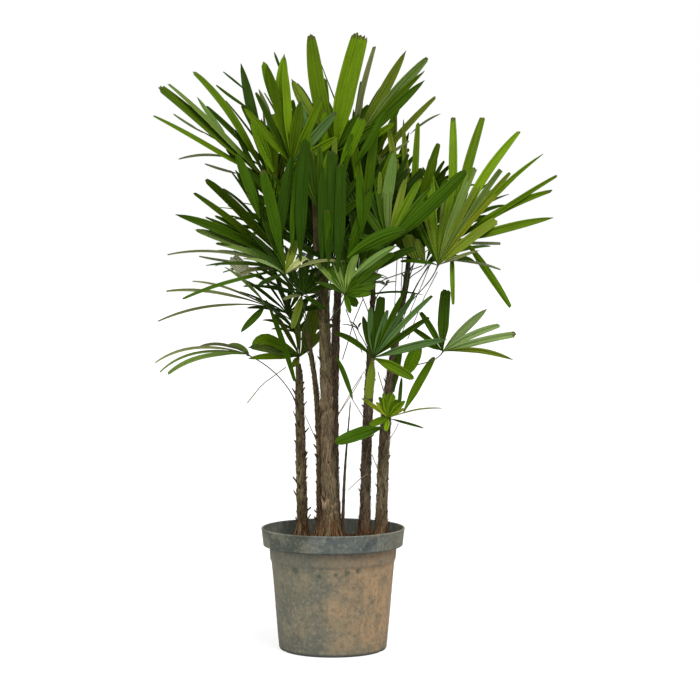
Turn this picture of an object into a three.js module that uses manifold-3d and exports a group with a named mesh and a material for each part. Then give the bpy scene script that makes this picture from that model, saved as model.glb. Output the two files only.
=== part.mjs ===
// A lady palm, Rhapis excelsa: a clump of cane stems with fan-shaped fronds, in a plain nursery pot.
// Millimetres, +Z up, the plant's front faces -Y. The origin is the centre of the pot's flat underside.
import * as THREE from "three";
import { mergeVertices } from "three/addons/utils/BufferGeometryUtils.js";
import Module from "manifold-3d";

const wasm = await Module();
wasm.setup();

// ---------------------------------------------------------------- driving dimensions

const GAP = 0.3; // clearance left between pieces that touch

const POT = {
  height: 290,
  rimRadius: 175,
  rimHeight: 46,
  rimTaper: 5, // how much narrower the rim band is at its lower edge
  lip: 3, // rolled edge along the top of the rim
  bodyTopRadius: 154,
  footRadius: 129,
  wall: 3,
  facets: 30,
  drains: 6, // drainage holes in the floor
  drainRadius: 7,
  drainCircle: 95,
  drainFacets: 10,
};

const SOIL_LEVEL = 258; // top of the root ball

// Each stem: the plan position of its foot, then the points that its axis passes through, and the
// radii at foot, middle and tip.
const STEMS = {
  left: { foot: [-75, 70], bends: [[-80, 66, 500], [-84, 60, 690]], radii: [13, 11.5, 8] },
  slim: { foot: [-34, 24], bends: [[-40, 16, 590], [-60, 2, 765]], radii: [8.5, 7, 5] },
  main: { foot: [-10, -20], bends: [[-20, -25, 740], [-29, -30, 1115]], radii: [20, 16, 8] },
  rear: { foot: [14, 48], bends: [[10, 52, 800], [42, 66, 1080]], radii: [15, 13, 7] },
  right: { foot: [80, 60], bends: [[92, 50, 720], [98, 45, 1040]], radii: [13, 11, 7] },
  far_right: { foot: [123, 40], bends: [[141, 30, 640], [182, 20, 1035]], radii: [14, 12, 7] },
};
const STEM_SIDES = 8;
const STEM_RINGS = 7;
const FOOT_FLARE = 1.22; // how much wider a stem is where it enters the soil
const FLARE_HEIGHT = 60;
const RING_CROWDING = 1.3; // rings stand closer together towards the foot, where a stem flares

// A young shoot that has no fan yet.
const SHOOT = { foot: [22, -2], top: [42, -14, 600], radii: [4.5, 3.6, 2], bow: -4, sides: 6 };

// A stalk is a three-sided rod that thickens towards the stem. It sets off steeply, this many times
// as much up as outwards, and arrives at the hub in line with the blade, bent a little outwards.
const STALK = {
  radius: 2.6,
  footScale: 1.3,
  rings: 4,
  sides: 3,
  steepness: 2.2,
  arrival: { outward: 0.5, up: 0.4 },
  leadOut: 0.35, // shares of the distance over which it holds its first and last directions
  leadIn: 0.3,
};
const HUB_THICKNESS = 4; // the blade's depth where its leaflets join
const RIB = 2.4; // how far a leaflet's rib stands below its flat top
const PALMAN = 0.1; // share of the blade's length over which leaflets are joined
const CUP = 0.14; // how far leaflets rise out of the fan's plane
const CROWDING = 0.82; // a leaflet's width is at most this share of its neighbour's distance
const LINE_STEPS = 12; // steps in which a leaflet's bending line is worked out

// The steps at which a leaflet has a cross-section, and its width there as a share of its greatest.
// A straight leaflet needs fewer than a drooping one.
const STRAIGHT = { steps: [6, 12], widths: [1, 0.4] };
const DROOPING = { steps: [5, 9, 12], widths: [1, 0.86, 0.36] };
const DROOPS_FROM = 0.38;

// A fan's leaflets are [angle, length] pairs: the angle from the fan's middle line in its own plane.
// An even fan shortens towards its sides.
function even(count, length, spread) {
  return Array.from({ length: count }, (_, i) => {
    const share = (2 * i) / (count - 1) - 1;
    const vary = 1 + 0.06 * Math.sin(1.7 * i + length);
    return [share * spread, length * (1 - 0.24 * share * share) * vary];
  });
}

// Each frond: the height at which its stalk leaves the stem, the hub where its leaflets meet, the
// plan direction and lift of its middle line and the fan's roll about that line in degrees, its
// leaflets' width and droop, and the leaflets.
const FRONDS = {
  left: {
    low_fan: [640, [-83, 35, 705], [120, 68, 0], 24, 0.3,
      [[-48, 125], [-25, 160], [-5, 135], [24, 120], [66, 135], [82, 140], [136, 95]]],
    far_fan: [600, [-203, 0, 717], [182, 15, -40], 20, 1,
      [[-34, 65], [-8, 125], [8, 235], [17, 240], [26, 220]]],
    back_fan: [660, [-95, 150, 760], [110, 35, 0], 24, 0.5, even(7, 190, 75)],
  },
  slim: {
    left_fan: [745, [-159, -60, 832], [185, 15, -50], 16, 0.45,
      [[-36, 140], [-6, 185], [6, 245], [26, 280], [59, 105]]],
    front_fan: [755, [-73, -90, 857], [110, 55, 0], 20, 0.3,
      [[-130, 65], [-67, 80], [-31, 90], [-6, 90], [24, 115], [51, 125], [72, 95], [102, 55], [154, 110]]],
    back: [735, [-90, 120, 850], [120, 40, 0], 22, 0.4, even(8, 200, 75)],
  },
  main: {
    left_drooping: [840, [-107, -60, 918], [184, 8, -45], 18, 0.35,
      [[-19, 190], [0, 290], [9, 200], [18, 185], [32, 290]]],
    left_rising: [850, [-121, 20, 936], [178, 42, -50], 24, 0.15,
      [[-36, 240], [-21, 255], [-2, 270], [9, 265], [19, 220], [27, 295], [35, 235]]],
    upper_left: [1000, [-160, -30, 1128], [182, 42, -50], 28, 0.08,
      [[-62, 240], [-49, 270], [-38, 310], [-12, 310], [6, 335], [21, 315]]],
    upper_left_back: [1030, [-130, 80, 1140], [165, 62, -50], 20, 0.08,
      [[-28, 210], [-12, 220], [4, 285], [12, 270], [24, 280], [39, 305], [60, 200]]],
    top_left: [1085, [-99, -70, 1167], [100, 78, 0], 26, 0.05,
      [[-60, 150], [-41, 165], [-9, 190], [3, 255], [13, 245], [40, 170]]],
    top_fan: [1105, [3, -20, 1199], [90, 84, 0], 44, 0.02,
      [[-58, 190], [-34, 220], [-13, 285], [11, 285], [33, 200]]],
    top_right: [1100, [46, 25, 1202], [0, 58, 60], 26, 0.05,
      [[-32, 180], [-23, 245], [-17, 260], [-10, 290], [1, 265], [19, 250]]],
    front_low: [770, [29, -150, 859], [85, 50, 0], 22, 0.3,
      [[-163, 85], [-78, 80], [-42, 130], [-22, 120], [-6, 120], [10, 130], [27, 125], [47, 140], [75, 65]]],
    front_left: [810, [-111, -150, 908], [100, 40, 0], 24, 0.3,
      [[-93, 75], [-44, 135], [-18, 175], [2, 200], [22, 130], [54, 95], [124, 105]]],
    front_high: [900, [-29, -120, 1048], [90, 70, 0], 30, 0.15,
      [[-51, 155], [-25, 175], [-8, 215], [8, 225], [24, 220], [42, 180], [73, 125]]],
    crown_left: [970, [-146, -40, 1073], [110, 70, 0], 32, 0.1, even(6, 210, 45)],
    crown_back: [1060, [-20, 90, 1190], [95, 80, 0], 30, 0.05, even(7, 240, 60)],
    side_left: [890, [-165, 50, 1010], [150, 45, -20], 26, 0.3, even(8, 250, 60)],
    back_left: [930, [-120, 165, 1050], [125, 50, 0], 26, 0.35, even(8, 260, 75)],
    back_low: [820, [-100, 190, 900], [120, 20, 0], 24, 0.6, even(8, 250, 80)],
  },
  rear: {
    right_rising: [1040, [89, 20, 1158], [0, 45, 55], 20, 0.1,
      [[-40, 150], [-27, 170], [-12, 225], [-1, 235], [20, 220], [38, 215]]],
    top_back: [1065, [40, 140, 1200], [85, 70, 0], 28, 0.1, even(8, 250, 60)],
    back: [960, [30, 230, 1060], [95, 35, 0], 24, 0.5, even(8, 260, 75)],
    back_left: [900, [-70, 240, 985], [130, 25, 0], 24, 0.55, even(8, 250, 75)],
    back_low: [800, [40, 260, 880], [85, 12, 0], 22, 0.7, even(8, 240, 80)],
    back_right: [930, [140, 220, 1020], [55, 32, 0], 24, 0.5, even(8, 255, 75)],
    left: [1000, [-60, 130, 1130], [140, 65, 0], 26, 0.2, even(7, 240, 60)],
    crown_right: [980, [125, 30, 1080], [80, 80, 0], 28, 0.05, even(7, 240, 45)],
  },
  right: {
    low_front: [610, [96, -60, 708], [90, 75, 0], 24, 0.2,
      [[-187, 105], [-117, 110], [-64, 150], [-42, 205], [-24, 175], [-8, 135], [9, 105], [59, 105]]],
    front: [870, [130, -110, 978], [80, 55, 0], 28, 0.2,
      [[-43, 185], [-22, 190], [-9, 200], [6, 230], [19, 190], [35, 145], [77, 100], [123, 95], [165, 120]]],
    front_high: [950, [77, -40, 1025], [90, 75, 0], 28, 0.1,
      [[-38, 170], [-20, 190], [-6, 245], [8, 250], [24, 170], [40, 165]]],
    inner: [860, [60, 80, 960], [85, 65, 0], 28, 0.2, even(8, 230, 70)],
    back: [940, [150, 130, 1060], [50, 45, 0], 24, 0.35, even(8, 250, 70)],
    back_low: [800, [130, 200, 880], [60, 15, 0], 22, 0.6, even(8, 230, 80)],
    low_back: [700, [60, 160, 770], [100, 30, 0], 22, 0.5, even(7, 180, 75)],
  },
  far_right: {
    big_fan: [800, [285, -40, 982], [350, 28, 65], 24, 0.12,
      [[-109, 170], [-74, 250], [-20, 260], [-9, 280], [2, 295], [14, 300], [32, 310], [50, 315],
        [65, 315], [80, 250]]],
    front_fan: [790, [249, -90, 928], [75, 60, 0], 24, 0.2,
      [[-68, 155], [-34, 285], [-24, 275], [-14, 260], [-2, 195], [9, 255], [25, 175], [84, 90]]],
    low_fan: [650, [263, -60, 723], [60, 62, 0], 22, 0.15,
      [[-96, 200], [-79, 195], [-62, 150], [-41, 140], [11, 155], [38, 135], [72, 125]]],
    small_fan: [530, [140, -10, 560], [90, 70, 0], 18, 0.2,
      [[-105, 90], [-78, 140], [-35, 185], [-4, 65], [49, 80], [110, 140]]],
    upright: [930, [190, 0, 989], [85, 84, 0], 20, 0.02,
      [[-30, 200], [-17, 235], [-5, 285], [5, 290], [14, 275], [24, 220]]],
    back_fan: [900, [290, 120, 1010], [30, 38, 0], 22, 0.45, even(8, 260, 75)],
    back: [850, [230, 210, 930], [60, 25, 0], 22, 0.55, even(8, 250, 75)],
    rising: [1000, [234, 40, 1110], [15, 65, 40], 22, 0.1, even(6, 200, 40)],
    inner: [860, [205, 60, 960], [70, 75, 0], 24, 0.1, even(7, 220, 50)],
  },
};

// ---------------------------------------------------------------- materials

const finish = (color, roughness) => new THREE.MeshStandardMaterial({ color, roughness, metalness: 0 });
const POT_PLASTIC = finish(0x6f6c5a, 0.75);
const SOIL = finish(0x4a3524, 0.95);
const STEM_FIBRE = finish(0x4b3c2c, 0.9);
const GREEN_SHOOT = finish(0x5d6b34, 0.6);
const LEAF = finish(0x3f6d1c, 0.4);

// ---------------------------------------------------------------- helpers

const Z_AXIS = new THREE.Vector3(0, 0, 1);
const X_AXIS = new THREE.Vector3(1, 0, 0);
const vec = (x, y, z) => new THREE.Vector3(x, y, z);
const range = (count) => Array.from({ length: count }, (_, i) => i);
const lerp = THREE.MathUtils.lerp;
const radians = THREE.MathUtils.degToRad;

// origin + sum of the given [vector, amount] pairs
function offset(origin, ...moves) {
  return moves.reduce((p, [v, amount]) => p.addScaledVector(v, amount), origin.clone());
}

// The part of v that is square to direction, as a unit vector.
function squareTo(v, direction) {
  return offset(v, [direction, -v.dot(direction)]).normalize();
}

function solidFrom(points, faces) {
  return new wasm.Manifold(
    new wasm.Mesh({
      numProp: 3,
      vertProperties: new Float32Array(points.flatMap((p) => p.toArray())),
      triVerts: new Uint32Array(faces.flat()),
    }),
  );
}

function solidOf(geometry) {
  const bare = geometry.clone().deleteAttribute("normal").deleteAttribute("uv");
  const merged = mergeVertices(bare, 1e-3);
  return new wasm.Manifold(
    new wasm.Mesh({
      numProp: 3,
      vertProperties: merged.attributes.position.array,
      triVerts: new Uint32Array(merged.index.array),
    }),
  );
}

function meshOf(name, solid, material) {
  const made = solid.getMesh();
  const geometry = new THREE.BufferGeometry()
    .setAttribute("position", new THREE.BufferAttribute(new Float32Array(made.vertProperties), 3))
    .setIndex(new THREE.BufferAttribute(new Uint32Array(made.triVerts), 1));
  geometry.computeVertexNormals();
  const mesh = new THREE.Mesh(geometry, material);
  mesh.name = name;
  return mesh;
}

// A closed skin over rings of points, which turn right-handed about the way that they travel.
function loft(rings) {
  const sides = rings[0].length;
  const last = (rings.length - 1) * sides;
  const faces = [];
  for (let ring = 0; ring < rings.length - 1; ring += 1) {
    for (let i = 0; i < sides; i += 1) {
      const a = ring * sides + i;
      const b = ring * sides + ((i + 1) % sides);
      faces.push([a, b, b + sides], [a, b + sides, a + sides]);
    }
  }
  for (let i = 1; i < sides - 1; i += 1) {
    faces.push([0, i + 1, i], [last, last + i, last + i + 1]);
  }
  return solidFrom(rings.flat(), faces);
}

function roundRing(centre, direction, reference, radius, sides) {
  const u = squareTo(reference, direction);
  const v = direction.clone().cross(u);
  return range(sides).map((i) => {
    const turn = (2 * Math.PI * i) / sides;
    return offset(centre, [u, radius * Math.cos(turn)], [v, radius * Math.sin(turn)]);
  });
}

function revolved(profile, facets) {
  const points = profile.map(([r, z]) => new THREE.Vector2(r, z));
  return solidOf(new THREE.LatheGeometry(points, facets).rotateX(Math.PI / 2));
}

// ---------------------------------------------------------------- pot and root ball

function bodyRadius(z) {
  const rimFoot = POT.height - POT.rimHeight;
  return lerp(POT.footRadius, POT.bodyTopRadius, z / rimFoot);
}

function pot() {
  const { height, rimRadius, rimHeight, rimTaper, lip, wall, footRadius } = POT;
  const rimFoot = height - rimHeight;
  const shell = revolved(
    [
      [0, 0],
      [footRadius - 4, 0],
      [footRadius, 5],
      [bodyRadius(rimFoot), rimFoot],
      [rimRadius - rimTaper - lip, rimFoot],
      [rimRadius - lip, height - 2 * lip],
      [rimRadius, height - lip],
      [rimRadius - lip, height],
      [rimRadius - lip - wall, height - lip],
      [rimRadius - lip - wall - rimTaper, rimFoot + wall],
      [bodyRadius(rimFoot) - wall, rimFoot + wall],
      [footRadius - wall, wall],
      [0, wall],
    ],
    POT.facets,
  );
  const drains = range(POT.drains).map((i) => {
    const turn = (2 * Math.PI * i) / POT.drains;
    const hole = new THREE.CylinderGeometry(POT.drainRadius, POT.drainRadius, 4 * wall, POT.drainFacets);
    hole.rotateX(Math.PI / 2);
    hole.translate(POT.drainCircle * Math.cos(turn), POT.drainCircle * Math.sin(turn), 0);
    return solidOf(hole);
  });
  return drains.reduce((solid, hole) => solid.subtract(hole), shell);
}

function rootBall() {
  const { height, rimHeight, wall, footRadius, rimRadius, rimTaper, lip } = POT;
  const rimFoot = height - rimHeight;
  const inner = wall + GAP;
  return revolved(
    [
      [0, inner],
      [footRadius - inner, inner],
      [bodyRadius(rimFoot) - inner, rimFoot + inner],
      [rimRadius - rimTaper - lip - inner, rimFoot + inner],
      [rimRadius - rimTaper - lip - inner, SOIL_LEVEL],
      [0, SOIL_LEVEL],
    ],
    POT.facets,
  );
}

// ---------------------------------------------------------------- stems

function stemAxis({ foot, bends }) {
  const points = [[...foot, SOIL_LEVEL + GAP], ...bends];
  return new THREE.CatmullRomCurve3(points.map((p) => vec(...p)), false, "centripetal");
}

// The point on a stem's axis at a height, found by halving, with the stem's radius there.
function stemAt(stem, height) {
  const axis = stemAxis(stem);
  const halvings = 30;
  let t = 0;
  for (let k = 1; k <= halvings; k += 1) {
    const next = t + 0.5 ** k;
    if (axis.getPoint(next).z < height) t = next;
  }
  return { centre: axis.getPoint(t), radius: stemRadius(stem, t, height) };
}

function stemRadius({ radii }, t, height) {
  const [foot, middle, tip] = radii;
  const plain = t < 0.5 ? lerp(foot, middle, 2 * t) : lerp(middle, tip, 2 * t - 1);
  const flare = Math.max(0, 1 - (height - SOIL_LEVEL) / FLARE_HEIGHT);
  return plain * lerp(1, FOOT_FLARE, flare * flare);
}

function stemSolid(stem, extra = 0) {
  const axis = stemAxis(stem);
  const rings = range(STEM_RINGS).map((i) => {
    const t = (i / (STEM_RINGS - 1)) ** RING_CROWDING;
    const centre = axis.getPoint(t);
    const direction = i === 0 ? Z_AXIS : axis.getTangent(t);
    const radius = stemRadius(stem, t, centre.z) + extra;
    return roundRing(centre, direction, X_AXIS, radius, STEM_SIDES);
  });
  return loft(rings);
}

function shootSolid(extra = 0) {
  const foot = vec(...SHOOT.foot, SOIL_LEVEL + GAP);
  const top = vec(...SHOOT.top);
  const middle = foot.clone().lerp(top, 0.5).addScaledVector(X_AXIS, SHOOT.bow);
  const rings = [foot, middle, top].map((centre, i) =>
    roundRing(centre, Z_AXIS, X_AXIS, SHOOT.radii[i] + extra, SHOOT.sides),
  );
  return loft(rings);
}

// ---------------------------------------------------------------- fronds

function readFrond(stemName, name) {
  const [foot, hub, [heading, lift, roll], width, droop, leaflets] = FRONDS[stemName][name];
  const turn = radians(heading);
  const rise = radians(lift);
  const twist = radians(roll);
  const axis = vec(Math.cos(rise) * Math.cos(turn), Math.cos(rise) * Math.sin(turn), Math.sin(rise));
  const level = vec(-Math.sin(turn), Math.cos(turn), 0);
  const upper = axis.clone().cross(level);
  return {
    name: `${stemName}_${name}`,
    stem: STEMS[stemName],
    foot,
    hub: vec(...hub),
    axis,
    side: offset(vec(0, 0, 0), [level, Math.cos(twist)], [upper, Math.sin(twist)]),
    normal: offset(vec(0, 0, 0), [level, -Math.sin(twist)], [upper, Math.cos(twist)]),
    width,
    droop,
    leaflets: leaflets.map(([angle, length]) => [radians(angle), length]),
    shape: droop < DROOPS_FROM ? STRAIGHT : DROOPING,
  };
}

function stalkCurve(frond) {
  const { centre, radius } = stemAt(frond.stem, frond.foot);
  const outward = squareTo(frond.hub.clone().sub(centre).setZ(0), Z_AXIS);
  const start = offset(centre, [outward, radius - 1]);
  const reach = start.distanceTo(frond.hub);
  const end = offset(frond.hub, [frond.normal, -HUB_THICKNESS / 2]);
  const { steepness, arrival, leadOut, leadIn } = STALK;
  const leaving = offset(outward, [Z_AXIS, steepness]).normalize();
  const arriving = offset(frond.axis, [outward, arrival.outward], [Z_AXIS, arrival.up]).normalize();
  return new THREE.CubicBezierCurve3(
    start,
    offset(start, [leaving, reach * leadOut]),
    offset(end, [arriving, -reach * leadIn]),
    end,
  );
}

function stalkSolid(frond, extra = 0) {
  const curve = stalkCurve(frond);
  const rings = range(STALK.rings).map((i) => {
    const t = i / (STALK.rings - 1);
    const tangent = curve.getTangent(t);
    const radius = STALK.radius * lerp(STALK.footScale, 1, t) + 2 * extra;
    const reference = Math.abs(tangent.dot(frond.side)) < 0.9 ? frond.side : frond.normal;
    return roundRing(curve.getPoint(t), tangent, reference, radius, STALK.sides);
  });
  return loft(rings);
}

// The bending line of one leaflet: points, directions and the vectors across it.
function leafletLine(frond, i) {
  const { hub, axis, side, normal, leaflets, shape, droop } = frond;
  const [angle, length] = leaflets[i];
  const step = length / LINE_STEPS;
  const across = offset(vec(0, 0, 0), [side, Math.cos(angle)], [axis, -Math.sin(angle)]);
  const flat = offset(vec(0, 0, 0), [axis, Math.cos(angle)], [side, Math.sin(angle)]);
  const direction = offset(flat, [normal, CUP]).normalize();
  const points = [hub.clone()];
  const acrosses = [squareTo(across, direction)];
  const directions = [direction.clone()];
  for (let k = 0; k < LINE_STEPS; k += 1) {
    direction.addScaledVector(Z_AXIS, (-droop * 1.6 * k) / LINE_STEPS ** 2).normalize();
    points.push(offset(points[k], [direction, step]));
    acrosses.push(squareTo(across, direction));
    directions.push(direction.clone());
  }
  const gaps = [leaflets[i - 1], leaflets[i + 1]].filter(Boolean).map(([a]) => Math.abs(a - angle));
  const room = CROWDING * Math.min(...gaps) * length * (shape.steps[0] / LINE_STEPS);
  return { points, directions, acrosses, width: Math.min(frond.width, room), shape };
}

// A leaflet's cross-section at a station: its two edges and the rib below.
function leafletSection(line, station, rib) {
  const at = line.shape.steps[station];
  const half = (line.width * line.shape.widths[station]) / 2;
  const normal = line.directions[at].clone().cross(line.acrosses[at]);
  return [
    offset(line.points[at], [line.acrosses[at], -half]),
    offset(line.points[at], [line.acrosses[at], half]),
    offset(line.points[at], [normal, -rib]),
  ];
}

// The fan: a thin blade, flat on top and ribbed below, whose leaflets part at short sinuses.
function bladeSolid(frond) {
  const { hub, normal, leaflets, shape } = frond;
  const count = leaflets.length;
  const last = shape.steps.length - 1;
  const lines = range(count).map((i) => leafletLine(frond, i));
  const joined = (PALMAN * LINE_STEPS) / shape.steps[0];
  const points = [hub, offset(hub, [normal, -HUB_THICKNESS])];
  const sinus = range(count + 1).map((j) => {
    const before = leafletSection(lines[Math.max(j - 1, 0)], 0, 0)[j > 0 ? 1 : 0];
    const after = leafletSection(lines[Math.min(j, count - 1)], 0, 0)[j < count ? 0 : 1];
    return points.push(hub.clone().lerp(before.lerp(after, 0.5), joined)) - 1;
  });
  const faces = [
    [0, 1, sinus[0]],
    [0, sinus[count], 1],
  ];
  lines.forEach((line, i) => {
    const [low, high] = [sinus[i], sinus[i + 1]];
    const sections = range(last).map((k) => {
      const first = points.length;
      points.push(...leafletSection(line, k, RIB * (1 - 0.3 * k)));
      return [first, first + 1, first + 2];
    });
    const [l, r, b] = sections[0];
    faces.push([0, low, high], [low, l, r], [low, r, high]);
    faces.push([1, b, low], [low, b, l], [1, high, b], [high, r, b]);
    for (let k = 1; k < last; k += 1) {
      const [[l1, r1, b1], [l2, r2, b2]] = [sections[k - 1], sections[k]];
      faces.push([l1, l2, r2], [l1, r2, r1]);
      faces.push([l1, b1, b2], [l1, b2, l2], [b1, r1, r2], [b1, r2, b2]);
    }
    const [le, re, be] = sections[last - 1];
    const tl = points.length;
    const tr = tl + 1;
    points.push(...leafletSection(line, last, 0).slice(0, 2));
    faces.push([le, tl, tr], [le, tr, re], [le, be, tl], [be, tr, tl], [be, re, tr]);
  });
  return solidFrom(points, faces);
}

// A slightly larger envelope of the fan, which keeps neighbours clear of it.
function bladeEnvelope(frond) {
  const margin = 2 * GAP;
  const { steps, widths } = frond.shape;
  const wings = range(frond.leaflets.length).map((i) => {
    const line = leafletLine(frond, i);
    const section = (at, half, depth, beyond = 0) => {
      const normal = line.directions[at].clone().cross(line.acrosses[at]);
      const centre = offset(line.points[at], [line.directions[at], beyond]);
      const corners = [
        [half, -depth],
        [half, margin],
        [-half, margin],
        [-half, -depth],
      ];
      return corners.map(([w, h]) => offset(centre, [line.acrosses[at], w], [normal, h]));
    };
    const outer = steps.map((at, k) => {
      const atTip = k === steps.length - 1;
      const half = (line.width * widths[k]) / 2 + margin;
      return section(at, half, atTip ? margin : RIB + margin, atTip ? margin : 0);
    });
    return loft([section(0, 4, HUB_THICKNESS + margin, -margin), ...outer]);
  });
  return wasm.Manifold.union(wings);
}

// The biggest of a solid's separate bodies.
function mainBody(solid) {
  return solid.decompose().reduce((best, body) => (body.volume() > best.volume() ? body : best));
}

function reachesInto(a, b) {
  const [p, q] = [a.boundingBox(), b.boundingBox()];
  return range(3).every((k) => p.min[k] < q.max[k] && q.min[k] < p.max[k]);
}

function cutClear(solid, cutters) {
  return cutters.filter((c) => reachesInto(solid, c)).reduce((left, c) => left.subtract(c), solid);
}

// ---------------------------------------------------------------- the plant

const plant = new THREE.Group();
plant.add(meshOf("pot", pot(), POT_PLASTIC));
plant.add(meshOf("root_ball", rootBall(), SOIL));

for (const [name, stem] of Object.entries(STEMS)) {
  plant.add(meshOf(`stem_${name}`, stemSolid(stem), STEM_FIBRE));
}
const stemEnvelopes = [...Object.values(STEMS).map((stem) => stemSolid(stem, GAP)), shootSolid(GAP)];

const fronds = Object.keys(FRONDS)
  .flatMap((stem) => Object.keys(FRONDS[stem]).map((name) => [stem, name]))
  .map(([stem, name]) => readFrond(stem, name));

// Stalks keep clear of stems and of one another, and blades of everything made before them.
const stalkEnvelopes = fronds.map((frond) => stalkSolid(frond, GAP));
const bladeEnvelopes = fronds.map(bladeEnvelope);
fronds.forEach((frond, k) => {
  const earlier = bladeEnvelopes.slice(0, k);
  const otherStalks = stalkEnvelopes.filter((_, j) => j !== k);
  const stalk = cutClear(stalkSolid(frond), [...stemEnvelopes, ...stalkEnvelopes.slice(0, k)]);
  const blade = cutClear(bladeSolid(frond), [...stemEnvelopes, ...otherStalks, ...earlier]);
  const kept = mainBody(stalk.add(blade));
  plant.add(meshOf(`frond_${frond.name}`, kept, LEAF));
});

plant.add(meshOf("young_shoot", shootSolid(), GREEN_SHOOT));

export default plant;
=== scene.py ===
# %% [markdown]
# # A lady palm in a nursery pot
#
# This notebook finishes a lady palm: a clump of slim canes wrapped in brown fibre, with fans of ribbed
# green leaflets on thin stalks, in an old plastic nursery pot. The plain solids of the plant are loaded
# first, in metres, with +Z up and the front towards -Y. Each step makes one kind of piece where its
# plain solid stands, and hides that solid.

# %% Load the frame
import math
import random

import bpy
import numpy as np
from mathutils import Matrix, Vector, noise


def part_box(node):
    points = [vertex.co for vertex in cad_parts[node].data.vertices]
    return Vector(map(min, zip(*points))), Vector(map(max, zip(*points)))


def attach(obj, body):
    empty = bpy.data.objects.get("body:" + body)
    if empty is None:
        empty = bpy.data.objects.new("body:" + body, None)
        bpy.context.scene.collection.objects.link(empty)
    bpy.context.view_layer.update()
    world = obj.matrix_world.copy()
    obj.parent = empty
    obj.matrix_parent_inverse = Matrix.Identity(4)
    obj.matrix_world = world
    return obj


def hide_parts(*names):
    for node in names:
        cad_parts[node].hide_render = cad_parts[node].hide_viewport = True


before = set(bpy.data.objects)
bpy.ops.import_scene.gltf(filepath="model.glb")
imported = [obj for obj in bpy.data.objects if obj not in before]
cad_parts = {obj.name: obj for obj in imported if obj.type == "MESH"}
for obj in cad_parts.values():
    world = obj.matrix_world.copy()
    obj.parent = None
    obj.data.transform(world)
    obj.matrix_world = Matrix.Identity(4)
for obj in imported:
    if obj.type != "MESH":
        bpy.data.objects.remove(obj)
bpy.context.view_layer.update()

MM = 0.001
UP = np.array([0.0, 0.0, 1.0])

# %% [markdown]
# ## Camera
#
# A tall pot plant is pictured with a long lens from a few metres away, a little above its middle, so
# that its canes stay upright. The lens and the distance are set once, and every piece is judged
# through them.

# %% Make the camera
CAMERA_PLACE = Vector((0.041, -5.0, 0.95))
CAMERA_AIM = Vector((0.041, 0.0, 0.724))

camera = bpy.data.objects.new("camera", bpy.data.cameras.new("camera"))
camera.data.lens = 106.7
camera.data.sensor_width = 36.0
camera.location = CAMERA_PLACE
camera.rotation_euler = (CAMERA_AIM - CAMERA_PLACE).to_track_quat("-Z", "Y").to_euler()
bpy.context.scene.collection.objects.link(camera)
bpy.context.scene.camera = camera
print("camera at", tuple(CAMERA_PLACE))

# %% [markdown]
# ## Small tools for shapes
#
# Everything on a palm is a tube or a blade: stalks, fibres and canes are tubes, and a leaflet is a
# very flat tube whose top and underside meet in a sharp edge. So one builder, which lays a closed skin
# over rings of points, makes them all. Arrays keep it quick with thousands of rings.


# %% Vectors
def unit(v):
    return v / np.linalg.norm(v, axis=-1, keepdims=True)


def square_to(v, direction):
    """The part of v at right angles to a direction, one unit long."""
    return unit(v - direction * np.sum(v * direction, axis=-1, keepdims=True))


def lerp(a, b, share):
    return a + (b - a) * share


def ease(share):
    """A share that starts and stops slowly between 0 and 1, and stays there beyond them."""
    share = np.clip(share, 0.0, 1.0)
    return share * share * (3.0 - 2.0 * share)


def column(values):
    """One value for each row of points."""
    return np.asarray(values, float)[:, None]


# %% The skin builder
MAP_NAME = "Along"  # the map of every skin: around it in one direction, along it in the other


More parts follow.
